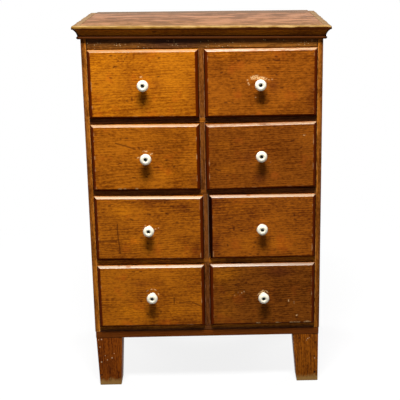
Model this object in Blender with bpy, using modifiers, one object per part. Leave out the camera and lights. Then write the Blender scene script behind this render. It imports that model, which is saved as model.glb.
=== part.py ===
"""Spice cabinet: a floor-standing wooden case on four tapered feet, with eight drawers in two columns.

Units are metres and +Z is up. The front faces -Y. The origin is on the floor, under the middle of the
cabinet's whole box, knobs included.
"""

from math import asin, cos, degrees, hypot, pi, radians, sin

import bmesh
import bpy

# Fits shared by all the pieces
JOINT_GAP = 0.0003  # between two pieces that touch
RUN_GAP = 0.0004  # under a drawer, and behind it where it stops
DRAWER_SIDE_GAP = 0.0008  # between a drawer and the case, each side
DRAWER_HEAD_GAP = 0.0020  # above a drawer front
DRAWER_TOE_GAP = 0.0012  # a front's lower edge clears the shelf that its sides run on by this much more

# Case of thin boards
CASE_WIDTH = 0.520
CASE_DEPTH = 0.350
SIDE_THICKNESS = 0.0115
DIVIDER_THICKNESS = 0.0115
UPPER_DIVIDER_X = -0.0032  # the dividers above and below the middle shelf stand a little off the middle
LOWER_DIVIDER_X = 0.0015
DIVIDER_HOUSING = 0.003  # grooves in the middle shelf for the dividers' ends
SHELF_THICKNESS = 0.0106
BOTTOM_SHELF_THICKNESS = 0.0123
ROW_COUNT = 4
OPENING_HEIGHT = 0.152
HOUSING_DEPTH = 0.004  # grooves in the sides for the shelf ends
HOUSING_STOP = 0.012  # wood left in front of a housing
BACK_THICKNESS = 0.009
BACK_REBATE = 0.006  # how far the back boards lap onto each side
BACK_BOARD_COUNT = 2
TOP_THICKNESS = 0.012
TOP_RAIL_HEIGHT = 0.038
TOP_RAIL_DEPTH = 0.020

# Base and feet
BASE_THICKNESS = 0.0162
BASE_INSET = 0.0008  # from the case's outer faces
FOOT_HEIGHT = 0.1197
FOOT_TOP_WIDTH = 0.060
FOOT_TOE_WIDTH = 0.050
FOOT_INSET = 0.0005  # from the base board's edges
TOE_LEAN = 0.004  # the front left foot's toe stands in by this much

# Cornice section: a fillet, a shallow cove and a bead
CORNICE_HEIGHT = 0.0295
CORNICE_PROJECTION = 0.016
CORNICE_BACK_SHORT = 0.020  # the side runs end this far before the back of the case
FILLET_HEIGHT = 0.0078
FILLET_LIP = 0.0016
COVE_FOOT_PROJECTION = 0.005
COVE_HOLLOW = 0.0018  # depth of the cove below its chord
COVE_SEGMENTS = 6
BEAD_RADIUS = 0.003
BEAD_SEGMENTS = 8

# Drawers
FRONT_THICKNESS = 0.0212
FRONT_PROUD = 0.010  # of the case's front edges
FRONT_CHAMFER = 0.006
END_CHAMFER = 0.0046  # height of the chamfers along the upper and lower edges
DRAWER_SIDE_THICKNESS = 0.009
DRAWER_BACK_THICKNESS = 0.009
DRAWER_SIDE_DROP = 0.006  # the sides' top edges lie this far below the front's
DRAWER_BACK_DROP = 0.004  # and the back's this far below the sides'
PANEL_THICKNESS = 0.006
PANEL_RISE = 0.006  # clear wood under the groove
GROOVE_DEPTH = 0.0045
TAIL_COUNT = 3
TAIL_LENGTH = 0.010
TAIL_SPREAD = 0.002  # widening of a tail on each edge
PIN_WIDTH = 0.008  # of the front's pins at the tails' tips
NARROW_DRAWER = 6  # this drawer has been planed narrower on its left
NARROWED_BY = 0.001
KNOB_SHIFTS = {  # how far to the right and up from the middle each drawer's knob is bored
    1: (-0.0004, 0.0),
    2: (-0.0019, -0.0015),
    3: (0.0006, 0.0015),
    4: (-0.0004, 0.004),
    5: (-0.0007, -0.0005),
    6: (-0.002, -0.0005),
    7: (0.0022, 0.0025),
    8: (0.0017, -0.002),
}

# Knob and its bolt
KNOB_DIAMETER = 0.025
KNOB_PROJECTION = 0.024
KNOB_HEAD_HEIGHT = 0.013
KNOB_NECK_DIAMETER = 0.0125
KNOB_FLANGE_DIAMETER = 0.0165
KNOB_FLANGE_HEIGHT = 0.003
KNOB_RECESS_DIAMETER = 0.0078
KNOB_RECESS_DEPTH = 0.0055
KNOB_STEPS = 20
KNOB_RIM_END = -60  # degrees, where the round rim turns into the waist
KNOB_RIM_SEGMENTS = 8
BOLT_DIAMETER = 0.0045
BOLT_HEAD_HEIGHT = 0.0025
BOLT_HEAD_EDGE = 0.0006  # upright edge below the head's dome
BOLT_DOME_SEGMENTS = 2
NUT_DIAMETER = 0.010
NUT_HEIGHT = 0.004
BOLT_STEPS = 12

# Settings of the modelling tools
MERGE_DISTANCE = 0.00001  # points of a turned shape this near its axis are one
SHARP_ANGLE = 35  # degrees between faces, above which an edge of a turned shape stays sharp
CARRIER_SIZE = 0.05  # drawn size of the empties

# Places worked out from the sizes above
FRONT_Y = (FRONT_PROUD + KNOB_PROJECTION - CASE_DEPTH) / 2
BACK_Y = FRONT_Y + CASE_DEPTH
BACK_INNER_Y = BACK_Y - BACK_THICKNESS
SHELF_BACK_Y = BACK_INNER_Y - JOINT_GAP
LAP_Y = (FRONT_Y + SHELF_BACK_Y) / 2
SHOULDER_Y = FRONT_Y + HOUSING_STOP + JOINT_GAP
CASE_HALF = CASE_WIDTH / 2
INNER_HALF = CASE_HALF - SIDE_THICKNESS
BASE_TOP = FOOT_HEIGHT + BASE_THICKNESS
FLOOR_TOP = BASE_TOP + BOTTOM_SHELF_THICKNESS
ROW_PITCH = OPENING_HEIGHT + SHELF_THICKNESS
RAIL_BOTTOM = FLOOR_TOP + ROW_COUNT * OPENING_HEIGHT + (ROW_COUNT - 1) * SHELF_THICKNESS
TOP_BOTTOM = RAIL_BOTTOM + TOP_RAIL_HEIGHT
CABINET_TOP = TOP_BOTTOM + TOP_THICKNESS
FRONT_HEIGHT = OPENING_HEIGHT - RUN_GAP - DRAWER_HEAD_GAP
FRONT_INNER_Y = FRONT_THICKNESS - FRONT_PROUD
DRAWER_LENGTH = CASE_DEPTH - BACK_THICKNESS - RUN_GAP
DRAWER_SIDE_TOP = FRONT_HEIGHT - DRAWER_SIDE_DROP
PANEL_BOTTOM = PANEL_RISE + JOINT_GAP
PANEL_TOP = PANEL_BOTTOM + PANEL_THICKNESS

# Colours: name, colour, roughness, metallic
AMBER_WOOD = ("drawer_front_wood", (0.42, 0.16, 0.025), 0.35, 0.0)
CASE_WOOD = ("case_wood", (0.30, 0.13, 0.03), 0.4, 0.0)
TOP_WOOD = ("top_wood", (0.50, 0.27, 0.14), 0.45, 0.0)
CORNICE_WOOD = ("cornice_wood", (0.12, 0.045, 0.012), 0.4, 0.0)
FOOT_WOOD = ("foot_wood", (0.13, 0.035, 0.008), 0.45, 0.0)
BOX_WOOD = ("drawer_box_wood", (0.55, 0.36, 0.19), 0.6, 0.0)
BACK_WOOD = ("back_wood", (0.38, 0.22, 0.10), 0.7, 0.0)
PORCELAIN = ("porcelain", (0.88, 0.87, 0.83), 0.12, 0.0)
BOLT_STEEL = ("bolt_steel", (0.10, 0.10, 0.10), 0.4, 1.0)


def material(finish):
    """The Principled material of this finish, made on its first use."""
    name, colour, roughness, metallic = finish
    if name in bpy.data.materials:
        return bpy.data.materials[name]
    made = bpy.data.materials.new(name)
    made.use_nodes = True
    shader = made.node_tree.nodes["Principled BSDF"]
    shader.inputs["Base Color"].default_value = (*colour, 1.0)
    shader.inputs["Roughness"].default_value = roughness
    shader.inputs["Metallic"].default_value = metallic
    return made


def box_mesh(low, high):
    """A box from its lowest to its highest corner."""
    bm = bmesh.new()
    bmesh.ops.create_cube(bm, size=1.0)
    for vert in bm.verts:
        for axis in range(3):
            vert.co[axis] = high[axis] if vert.co[axis] > 0 else low[axis]
    return finished(bm)


def prism(outline, axis, low, high):
    """A flat outline extruded along an axis. On "x" its points are (y, z), and on "z" they are (x, y)."""
    bm = bmesh.new()
    places = [(low, a, b) if axis == "x" else (a, b, low) for a, b in outline]
    face = bm.faces.new([bm.verts.new(place) for place in places])
    grown = bmesh.ops.extrude_face_region(bm, geom=[face])["geom"]
    moved = [item for item in grown if isinstance(item, bmesh.types.BMVert)]
    step = (high - low, 0, 0) if axis == "x" else (0, 0, high - low)
    bmesh.ops.translate(bm, verts=moved, vec=step)
    bmesh.ops.recalc_face_normals(bm, faces=bm.faces)
    return finished(bm)


def finished(bm):
    mesh = bpy.data.meshes.new("shape")
    bm.to_mesh(mesh)
    bm.free()
    return mesh


def arc(centre, radius, start, end, segments):
    """Points on a circle from one angle to another, in degrees."""
    angles = [radians(start + (end - start) * i / segments) for i in range(segments + 1)]
    return [(centre[0] + radius * cos(a), centre[1] + radius * sin(a)) for a in angles]


def turned(profile, steps):
    """A profile of (radius, height) points spun about Z. It runs down its outer side, top to bottom."""
    mesh = bpy.data.meshes.new("profile")
    count = len(profile)
    closed = profile[0][0] > 0
    edges = [(i, (i + 1) % count) for i in range(count if closed else count - 1)]
    mesh.from_pydata([(radius, 0, height) for radius, height in profile], edges, [])
    shape = bpy.data.objects.new("turned", mesh)
    bpy.context.scene.collection.objects.link(shape)
    screw = shape.modifiers.new("spin", "SCREW")
    screw.steps = steps
    screw.render_steps = steps
    screw.use_merge_vertices = True
    screw.merge_threshold = MERGE_DISTANCE
    made = baked(shape)
    made.shade_smooth()
    made.set_sharp_from_angle(angle=radians(SHARP_ANGLE))
    return made


def baked(shape):
    """The object's mesh with its modifiers applied. The object itself is removed."""
    graph = bpy.context.evaluated_depsgraph_get()
    made = bpy.data.meshes.new_from_object(shape.evaluated_get(graph))
    bpy.data.objects.remove(shape)
    return made


def combined(mesh, operation, others):
    """The mesh after one Boolean with each of the other meshes."""
    shape = bpy.data.objects.new("shape", mesh)
    bpy.context.scene.collection.objects.link(shape)
    helpers = [cutter("helper", other) for other in others]
    for helper in helpers:
        boolean(shape, operation, helper)
    made = baked(shape)
    for helper in helpers:
        bpy.data.objects.remove(helper)
    return made


def boolean(shape, operation, other):
    modifier = shape.modifiers.new(other.name, "BOOLEAN")
    modifier.operation = operation
    modifier.object = other


def cutter(name, mesh):
    made = bpy.data.objects.new(name, mesh)
    made.hide_render = True
    made.display_type = "WIRE"
    cutters.objects.link(made)
    return made


def piece(name, mesh, finish, carrier):
    """One named sub-part, placed in the frame of the empty that carries it."""
    made = bpy.data.objects.new(name, mesh)
    if not mesh.materials:
        mesh.materials.append(material(finish))
    parts.objects.link(made)
    made.parent = carrier
    return made


def carrier_at(name, place):
    made = bpy.data.objects.new(name, None)
    made.empty_display_size = CARRIER_SIZE
    made.location = place
    parts.objects.link(made)
    return made


def shelf_levels():
    """The heights of the undersides of the shelves between the rows, from the top."""
    return [FLOOR_TOP + row * ROW_PITCH - SHELF_THICKNESS for row in range(ROW_COUNT - 1, 0, -1)]


def shelf_outline(slot):
    """A shelf seen from above: narrower in front of the housings, with this slot, if any, in its back edge."""
    front_half = INNER_HALF - JOINT_GAP
    tongue_half = INNER_HALF + HOUSING_DEPTH - JOINT_GAP
    right = [(front_half, FRONT_Y), (front_half, SHOULDER_Y), (tongue_half, SHOULDER_Y), (tongue_half, SHELF_BACK_Y)]
    left = [(-x, y) for x, y in reversed(right)]
    return right + slot + left


def divider_slot(middle):
    """The slot in the back half of a shelf for the divider that crosses it."""
    half = DIVIDER_THICKNESS / 2 + JOINT_GAP
    low, high = middle - half, middle + half
    return [(high, SHELF_BACK_Y), (high, LAP_Y), (low, LAP_Y), (low, SHELF_BACK_Y)]


def shelf_slots(levels):
    """The slots in the front half of a divider for the shelves that it crosses, from the top."""
    end = LAP_Y + JOINT_GAP
    points = []
    for level in levels:
        high, low = level + SHELF_THICKNESS + JOINT_GAP, level - JOINT_GAP
        points += [(FRONT_Y, high), (end, high), (end, low), (FRONT_Y, low)]
    return points


def upper_divider_outline(rest, levels):
    """The upper divider seen from the side: tongued into the shelf it rests on, and notched for the top rail."""
    foot = rest + JOINT_GAP
    tongue = foot - DIVIDER_HOUSING
    top = TOP_BOTTOM - JOINT_GAP
    rail_back = FRONT_Y + TOP_RAIL_DEPTH + JOINT_GAP
    rail_bottom = RAIL_BOTTOM - JOINT_GAP
    points = [(FRONT_Y, foot), (SHOULDER_Y, foot), (SHOULDER_Y, tongue), (SHELF_BACK_Y, tongue), (SHELF_BACK_Y, top)]
    points += [(rail_back, top), (rail_back, rail_bottom), (FRONT_Y, rail_bottom)]
    return points + shelf_slots(levels)


def lower_divider_outline(underside, levels):
    """The lower divider seen from the side: it stands on the bottom shelf, tongued into the shelf above it."""
    foot = FLOOR_TOP + JOINT_GAP
    head = underside - JOINT_GAP
    tongue = head + DIVIDER_HOUSING
    points = [(FRONT_Y, foot), (SHELF_BACK_Y, foot), (SHELF_BACK_Y, tongue)]
    points += [(SHOULDER_Y, tongue), (SHOULDER_Y, head), (FRONT_Y, head)]
    return points + shelf_slots(levels)


def divider_groove(middle, height):
    """The space of a divider's tongue in the shelf face at this height."""
    half = DIVIDER_THICKNESS / 2 + JOINT_GAP
    low = (middle - half, FRONT_Y + HOUSING_STOP, height - DIVIDER_HOUSING)
    return box_mesh(low, (middle + half, BACK_INNER_Y, height + DIVIDER_HOUSING))


def cornice_section():
    """The moulding's section as (projection, height below the top) points, clockwise from its top inner edge."""
    cove_top = (CORNICE_PROJECTION - FILLET_LIP, -FILLET_HEIGHT)
    bead_centre = (COVE_FOOT_PROJECTION, BEAD_RADIUS - CORNICE_HEIGHT)
    cove_foot = (COVE_FOOT_PROJECTION, bead_centre[1] + BEAD_RADIUS)
    points = [(0, 0), (CORNICE_PROJECTION, 0), (CORNICE_PROJECTION, -FILLET_HEIGHT)]
    points += hollow_arc(cove_top, cove_foot, COVE_HOLLOW, COVE_SEGMENTS)
    points += arc(bead_centre, BEAD_RADIUS, 90, -90, BEAD_SEGMENTS)[1:]
    return points + [(0, -CORNICE_HEIGHT)]


def hollow_arc(start, end, depth, segments):
    """Points on the circular arc from start to end that dips by depth to the right of the chord."""
    along = (end[0] - start[0], end[1] - start[1])
    chord = hypot(*along)
    radius = (chord**2 / 4 + depth**2) / (2 * depth)
    half_angle = asin(chord / 2 / radius)
    unit = (along[0] / chord, along[1] / chord)
    right = (unit[1], -unit[0])
    middle = ((start[0] + end[0]) / 2, (start[1] + end[1]) / 2)
    points = []
    for i in range(segments + 1):
        angle = half_angle * (2 * i / segments - 1)
        forward = radius * sin(angle)
        dip = radius * cos(angle) - radius + depth
        points.append(tuple(middle[k] + unit[k] * forward + right[k] * dip for k in range(2)))
    return points


def front_cornice():
    """The front run, with each end sheared outwards by its own projection to make the mitre."""
    outline = [(FRONT_Y - JOINT_GAP - out, CABINET_TOP + height) for out, height in cornice_section()]
    mesh = prism(outline, "x", -CASE_HALF, CASE_HALF)
    for vert in mesh.vertices:
        out = FRONT_Y - JOINT_GAP - vert.co.y
        vert.co.x += out if vert.co.x > 0 else -out
    return mesh


def side_cornice(hand):
    """A side run, mitred at its front end and square at its back end. hand is -1 on the left and 1 on the right."""
    outline = [(CASE_HALF + JOINT_GAP + out, CABINET_TOP + height) for out, height in cornice_section()]
    length = CASE_DEPTH - CORNICE_BACK_SHORT
    mesh = prism(outline, "x", 0, length)
    for vert in mesh.vertices:
        along, across, height = vert.co
        out = across - CASE_HALF - JOINT_GAP
        reach = along if along > length / 2 else -out
        vert.co = (hand * across, FRONT_Y + reach, height)
    outward(mesh)
    return mesh


def outward(mesh):
    """Turns the faces of a mirrored mesh so that they all point out."""
    bm = bmesh.new()
    bm.from_mesh(mesh)
    bmesh.ops.recalc_face_normals(bm, faces=bm.faces)
    bm.to_mesh(mesh)
    bm.free()


def side_board(name, hand, carrier):
    """A side of the case, cut by the housing of each shelf and by the rebate for the back boards."""
    low_x, high_x = sorted((hand * INNER_HALF, hand * CASE_HALF))
    mesh = box_mesh((low_x, FRONT_Y, BASE_TOP + JOINT_GAP), (high_x, BACK_Y, TOP_BOTTOM - JOINT_GAP))
    board = piece(name, mesh, CASE_WOOD, carrier)
    for helper in housing_cutters:
        boolean(board, "DIFFERENCE", helper)


def case_cutters():
    """The space of each shelf's housings, and the space of the back, all as wide as the grooves they leave."""
    half = INNER_HALF + HOUSING_DEPTH
    made = []
    for number, level in enumerate(shelf_levels(), 1):
        low = (-half, FRONT_Y + HOUSING_STOP, level - JOINT_GAP)
        high = (half, BACK_INNER_Y, level + SHELF_THICKNESS + JOINT_GAP)
        made.append(cutter(f"housing_{number}", box_mesh(low, high)))
    reach = INNER_HALF + BACK_REBATE
    clear_y = BACK_Y + BACK_THICKNESS
    low = (-reach, BACK_INNER_Y - JOINT_GAP, FOOT_HEIGHT)
    made.append(cutter("back_rebate", box_mesh(low, (reach, clear_y, CABINET_TOP))))
    return made


def foot_mesh(hand, face_y, towards, lean):
    """A square block whose two inner faces taper to the toe, which may lean in towards the cabinet's middle."""
    outer_x = hand * (CASE_HALF - BASE_INSET - FOOT_INSET)
    middle_x = outer_x - hand * FOOT_TOP_WIDTH / 2
    middle_y = face_y + towards * FOOT_TOP_WIDTH / 2
    half = FOOT_TOP_WIDTH / 2
    top = FOOT_HEIGHT - JOINT_GAP
    mesh = box_mesh((middle_x - half, middle_y - half, 0), (middle_x + half, middle_y + half, top))
    taper = FOOT_TOP_WIDTH - FOOT_TOE_WIDTH
    for vert in mesh.vertices:
        if vert.co.z > top / 2:
            continue
        if hand * (vert.co.x - middle_x) < 0:
            vert.co.x += hand * taper
        if towards * (vert.co.y - middle_y) > 0:
            vert.co.y -= towards * taper
        vert.co.x -= hand * lean
    return mesh


def build_shelves(case):
    """The shelves and the two dividers, halved into each other but at the middle shelf, which is grooved for both."""
    levels = shelf_levels()
    middle = ROW_COUNT // 2 - 1
    underside = levels[middle]
    rest = underside + SHELF_THICKNESS
    for number, level in enumerate(levels):
        slot = divider_slot(UPPER_DIVIDER_X if number < middle else LOWER_DIVIDER_X)
        shelf = prism(shelf_outline([] if number == middle else slot), "z", level, level + SHELF_THICKNESS)
        if number == middle:
            grooves = [divider_groove(UPPER_DIVIDER_X, rest), divider_groove(LOWER_DIVIDER_X, underside)]
            shelf = combined(shelf, "DIFFERENCE", grooves)
        piece(f"shelf_{number + 1}", shelf, CASE_WOOD, case)
    for name, outline, place in (
        ("upper_divider", upper_divider_outline(rest, levels[:middle]), UPPER_DIVIDER_X),
        ("lower_divider", lower_divider_outline(underside, levels[middle + 1:]), LOWER_DIVIDER_X),
    ):
        half = DIVIDER_THICKNESS / 2
        piece(name, prism(outline, "x", place - half, place + half), CASE_WOOD, case)


def build_case():
    """Every piece that stays still: the boards, the cornice, the base and the feet."""
    case = carrier_at("case", (0, 0, 0))
    side_board("left_side", -1, case)
    side_board("right_side", 1, case)
    build_shelves(case)

    width = INNER_HALF - JOINT_GAP
    low = (-width, FRONT_Y, RAIL_BOTTOM)
    high = (width, FRONT_Y + TOP_RAIL_DEPTH, TOP_BOTTOM - JOINT_GAP)
    piece("top_rail", box_mesh(low, high), CASE_WOOD, case)
    low = (-width, FRONT_Y, BASE_TOP + JOINT_GAP)
    piece("bottom_shelf", box_mesh(low, (width, SHELF_BACK_Y, FLOOR_TOP)), CASE_WOOD, case)
    low = (-CASE_HALF, FRONT_Y, TOP_BOTTOM)
    piece("top_board", box_mesh(low, (CASE_HALF, BACK_Y, CABINET_TOP)), TOP_WOOD, case)

    span = 2 * (INNER_HALF + BACK_REBATE - JOINT_GAP)
    board_pitch = (span + JOINT_GAP) / BACK_BOARD_COUNT
    for number in range(BACK_BOARD_COUNT):
        left = number * board_pitch - span / 2
        low = (left, BACK_INNER_Y, BASE_TOP + JOINT_GAP)
        high = (left + board_pitch - JOINT_GAP, BACK_Y, TOP_BOTTOM - JOINT_GAP)
        piece(f"back_board_{number + 1}", box_mesh(low, high), BACK_WOOD, case)

    piece("cornice_front", front_cornice(), CORNICE_WOOD, case)
    piece("cornice_left", side_cornice(-1), CORNICE_WOOD, case)
    piece("cornice_right", side_cornice(1), CORNICE_WOOD, case)

    base_half = CASE_HALF - BASE_INSET
    low = (-base_half, FRONT_Y + BASE_INSET, FOOT_HEIGHT)
    piece("base_board", box_mesh(low, (base_half, BACK_Y - BASE_INSET, BASE_TOP)), FOOT_WOOD, case)
    edge = BASE_INSET + FOOT_INSET
    for depth, face_y, towards in (("front", FRONT_Y + edge, 1), ("back", BACK_Y - edge, -1)):
        for side, hand in (("left", -1), ("right", 1)):
            lean = TOE_LEAN if (depth, side) == ("front", "left") else 0
            piece(f"foot_{depth}_{side}", foot_mesh(hand, face_y, towards, lean), FOOT_WOOD, case)


def side_outline(back_y, gap):
    """A drawer side seen from the right, with dovetail tails on its front end, all grown by the gap."""
    low = -gap
    high = DRAWER_SIDE_TOP + gap
    shoulder = FRONT_INNER_Y + JOINT_GAP
    tip = FRONT_INNER_Y - TAIL_LENGTH - gap
    pitch = DRAWER_SIDE_TOP / TAIL_COUNT
    half_tip = (pitch - PIN_WIDTH) / 2 + gap
    half_root = half_tip - TAIL_SPREAD
    points = [(shoulder, low), (back_y, low), (back_y, high), (shoulder, high)]
    for number in range(TAIL_COUNT):
        middle = DRAWER_SIDE_TOP - (number + 0.5) * pitch
        points += [(shoulder, middle + half_root), (tip, middle + half_tip)]
        points += [(tip, middle - half_tip), (shoulder, middle - half_root)]
    return points


def drawer_front_mesh(width, groove, knob_x, knob_z):
    """A thick board, chamfered all round its face, with sockets for the tails, a groove and a bolt hole."""
    half = width / 2
    bm = bmesh.new()
    bm.from_mesh(box_mesh((-half, -FRONT_PROUD, DRAWER_TOE_GAP), (half, FRONT_INNER_Y, FRONT_HEIGHT)))
    face_edges = [e for e in bm.edges if all(v.co.y < 0 for v in e.verts)]
    bmesh.ops.bevel(bm, geom=face_edges, offset=FRONT_CHAMFER, segments=1, affect="EDGES")
    for vert in bm.verts:
        if vert.co.y < FRONT_CHAMFER / 2 - FRONT_PROUD:
            upper = vert.co.z > FRONT_HEIGHT / 2
            vert.co.z = FRONT_HEIGHT - END_CHAMFER if upper else DRAWER_TOE_GAP + END_CHAMFER
    socket_floor = half - DRAWER_SIDE_THICKNESS - JOINT_GAP
    comb = side_outline(FRONT_INNER_Y + TAIL_LENGTH, JOINT_GAP)
    sockets = [
        prism(comb, "x", socket_floor, half + DRAWER_SIDE_THICKNESS),
        prism(comb, "x", -half - DRAWER_SIDE_THICKNESS, -socket_floor),
    ]
    hole_radius = BOLT_DIAMETER / 2 + JOINT_GAP
    hole = turned([(0, FRONT_THICKNESS), (hole_radius, FRONT_THICKNESS),
                   (hole_radius, -FRONT_THICKNESS), (0, -FRONT_THICKNESS)], BOLT_STEPS)
    for vert in hole.vertices:
        x, y, z = vert.co
        vert.co = (x + knob_x, -z, y + knob_z)
    return combined(finished(bm), "DIFFERENCE", [*sockets, groove, hole])


def drawer_box_mesh(width, groove):
    """The two dovetailed sides and the back between them, grooved for the bottom panel."""
    half = width / 2
    inner = half - DRAWER_SIDE_THICKNESS
    outline = side_outline(DRAWER_LENGTH, 0)
    left = prism(outline, "x", -half, -inner)
    right = prism(outline, "x", inner, half)
    reach = inner + DRAWER_SIDE_THICKNESS / 2
    low = (-reach, DRAWER_LENGTH - DRAWER_BACK_THICKNESS, PANEL_TOP + JOINT_GAP)
    back = box_mesh(low, (reach, DRAWER_LENGTH, DRAWER_SIDE_TOP - DRAWER_BACK_DROP))
    joined = combined(left, "UNION", [back, right])
    return combined(joined, "DIFFERENCE", [groove])


def groove_mesh(width):
    """The space that the bottom panel slides into, open at the back."""
    half = width / 2 - DRAWER_SIDE_THICKNESS + GROOVE_DEPTH
    low = (-half, FRONT_INNER_Y - GROOVE_DEPTH, PANEL_RISE)
    return box_mesh(low, (half, DRAWER_LENGTH + GROOVE_DEPTH, PANEL_TOP + JOINT_GAP))


def panel_mesh(width):
    half = width / 2 - DRAWER_SIDE_THICKNESS + GROOVE_DEPTH - JOINT_GAP
    low = (-half, FRONT_INNER_Y - GROOVE_DEPTH + JOINT_GAP, PANEL_BOTTOM)
    return box_mesh(low, (half, DRAWER_LENGTH, PANEL_TOP))


def knob_mesh():
    """A mushroom knob: round rim, waist and foot flange, with a bore and a recess for the bolt's head."""
    rim = KNOB_HEAD_HEIGHT / 2
    rim_middle = (KNOB_DIAMETER / 2 - rim, KNOB_PROJECTION - rim)
    neck = KNOB_NECK_DIAMETER / 2
    flange = KNOB_FLANGE_DIAMETER / 2
    recess = KNOB_RECESS_DIAMETER / 2
    bore = BOLT_DIAMETER / 2 + JOINT_GAP
    recess_floor = KNOB_PROJECTION - KNOB_RECESS_DEPTH
    points = [(recess, KNOB_PROJECTION)]
    points += arc(rim_middle, rim, 90, KNOB_RIM_END, KNOB_RIM_SEGMENTS)
    points += [(neck, (rim_middle[1] - rim + KNOB_FLANGE_HEIGHT) / 2)]
    points += [(flange, KNOB_FLANGE_HEIGHT), (flange, JOINT_GAP), (bore, JOINT_GAP)]
    points += [(bore, recess_floor), (recess, recess_floor)]
    return turned(points, KNOB_STEPS)


def bolt_mesh():
    """The bolt through knob and front: a domed head in the knob's recess, and a nut inside the drawer."""
    head = KNOB_RECESS_DIAMETER / 2 - JOINT_GAP
    shank = BOLT_DIAMETER / 2
    nut = NUT_DIAMETER / 2
    head_low = KNOB_PROJECTION - KNOB_RECESS_DEPTH + JOINT_GAP
    head_top = head_low + BOLT_HEAD_HEIGHT
    nut_top = -FRONT_THICKNESS - JOINT_GAP
    nut_low = nut_top - NUT_HEIGHT
    rise = BOLT_HEAD_HEIGHT - BOLT_HEAD_EDGE
    dome_radius = (head**2 + rise**2) / (2 * rise)
    dome_end = degrees(asin((dome_radius - rise) / dome_radius))
    dome = arc((0, head_top - dome_radius), dome_radius, 90, dome_end, BOLT_DOME_SEGMENTS)
    points = [(0, head_top), *dome[1:], (head, head_low), (shank, head_low)]
    points += [(shank, nut_top), (nut, nut_top), (nut, nut_low), (0, nut_low)]
    return turned(points, BOLT_STEPS)


def drawer_meshes(width, knob_x, knob_z):
    groove = groove_mesh(width)
    return {
        "front": (drawer_front_mesh(width, groove, knob_x, knob_z), AMBER_WOOD),
        "box": (drawer_box_mesh(width, groove), BOX_WOOD),
        "bottom": (panel_mesh(width), BOX_WOOD),
    }


def build_drawers():
    """Two drawers to a row, numbered from the top left. Each slides along -Y on its own carrier."""
    knob = knob_mesh()
    bolt = bolt_mesh()
    for number in range(1, 2 * ROW_COUNT + 1):
        row = (number - 1) // 2
        hand = 1 if number % 2 == 0 else -1
        divider_x = UPPER_DIVIDER_X if row < ROW_COUNT // 2 else LOWER_DIVIDER_X
        opening_width = INNER_HALF - DIVIDER_THICKNESS / 2 - hand * divider_x
        middle = hand * (INNER_HALF - opening_width / 2)
        width = opening_width - 2 * DRAWER_SIDE_GAP
        if number == NARROW_DRAWER:
            width -= NARROWED_BY
            middle += NARROWED_BY / 2
        knob_x, raised = KNOB_SHIFTS.get(number, (0, 0))
        knob_z = FRONT_HEIGHT / 2 + raised
        level = FLOOR_TOP + (ROW_COUNT - 1 - row) * ROW_PITCH + RUN_GAP
        drawer = carrier_at(f"drawer_{number}", (middle, FRONT_Y, level))
        for name, (mesh, finish) in drawer_meshes(width, knob_x, knob_z).items():
            piece(f"drawer_{number}_{name}", mesh, finish, drawer)
        for name, mesh, finish in (("knob", knob, PORCELAIN), ("bolt", bolt, BOLT_STEEL)):
            fitting = piece(f"drawer_{number}_{name}", mesh, finish, drawer)
            fitting.location = (knob_x, -FRONT_PROUD, knob_z)
            fitting.rotation_euler = (pi / 2, 0, 0)


for old in list(bpy.data.objects):
    bpy.data.objects.remove(old)
parts = bpy.data.collections.new("spice_cabinet")
cutters = bpy.data.collections.new("cutters")
bpy.context.scene.collection.children.link(parts)
bpy.context.scene.collection.children.link(cutters)
housing_cutters = case_cutters()
build_case()
build_drawers()
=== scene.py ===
# Spice cabinet: the looks of every piece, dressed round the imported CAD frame. Metres, +Z up, front towards -Y.
from math import pi, radians

import bmesh
import bpy
import numpy as np
from mathutils import Matrix, Vector


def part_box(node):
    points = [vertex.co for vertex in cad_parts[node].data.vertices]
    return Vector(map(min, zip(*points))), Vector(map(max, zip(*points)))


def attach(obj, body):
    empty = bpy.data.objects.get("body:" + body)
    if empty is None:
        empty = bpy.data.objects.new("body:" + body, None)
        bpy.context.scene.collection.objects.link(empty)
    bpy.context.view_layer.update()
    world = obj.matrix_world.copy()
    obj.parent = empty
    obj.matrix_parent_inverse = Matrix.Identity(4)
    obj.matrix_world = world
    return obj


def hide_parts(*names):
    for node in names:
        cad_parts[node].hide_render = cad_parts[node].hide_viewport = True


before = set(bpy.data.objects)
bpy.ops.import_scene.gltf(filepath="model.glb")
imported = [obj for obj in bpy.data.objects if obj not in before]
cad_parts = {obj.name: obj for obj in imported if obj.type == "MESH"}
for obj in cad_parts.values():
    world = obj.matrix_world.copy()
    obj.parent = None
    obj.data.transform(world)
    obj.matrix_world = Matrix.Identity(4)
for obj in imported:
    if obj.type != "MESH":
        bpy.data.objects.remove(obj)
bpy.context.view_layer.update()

# Feet
# Four square blocks of stained softwood, planed to a taper on their two inner faces and glued up under the
# base board. The toes have lost their varnish to damp floors, and the faces carry flecks of old paint.
FOOT_TAPER = 0.010
TOE_LEAN = 0.004
FOOT_EASE = 0.0016
CORNER_STEPS = 5
FIRST_TURN = 8
SHARP_ANGLE = radians(40)


def grid_quads(rows, columns, closed=True):
    """Quads between neighbouring points of a grid, whose columns join up into rings where it is closed."""
    numbers = np.arange(rows * columns).reshape(rows, columns)
    if closed:
        numbers = np.concatenate([numbers, numbers[:, :1]], axis=1)
    corners = (numbers[:-1, :-1], numbers[:-1, 1:], numbers[1:, 1:], numbers[1:, :-1])
    return np.stack(corners, axis=-1).reshape(-1, 4)


def mesh_of(name, points, quads, caps=()):
    """A mesh from a grid of points, its quads and any end caps, which are rings of point numbers."""
    mesh = bpy.data.meshes.new(name)
    mesh.from_pydata(points.reshape(-1, 3), [], [*quads.tolist(), *caps])
    mesh.shade_smooth()
    mesh.set_sharp_from_angle(angle=SHARP_ANGLE)
    return mesh


def tube_mesh(name, rings):
    """Rings of points, joined side to side and capped at both ends."""
    rows, columns = rings.shape[:2]
    first = list(range(columns))[::-1]
    last = list(range((rows - 1) * columns, rows * columns))
    return mesh_of(name, rings, grid_quads(rows, columns), [first, last])


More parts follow.
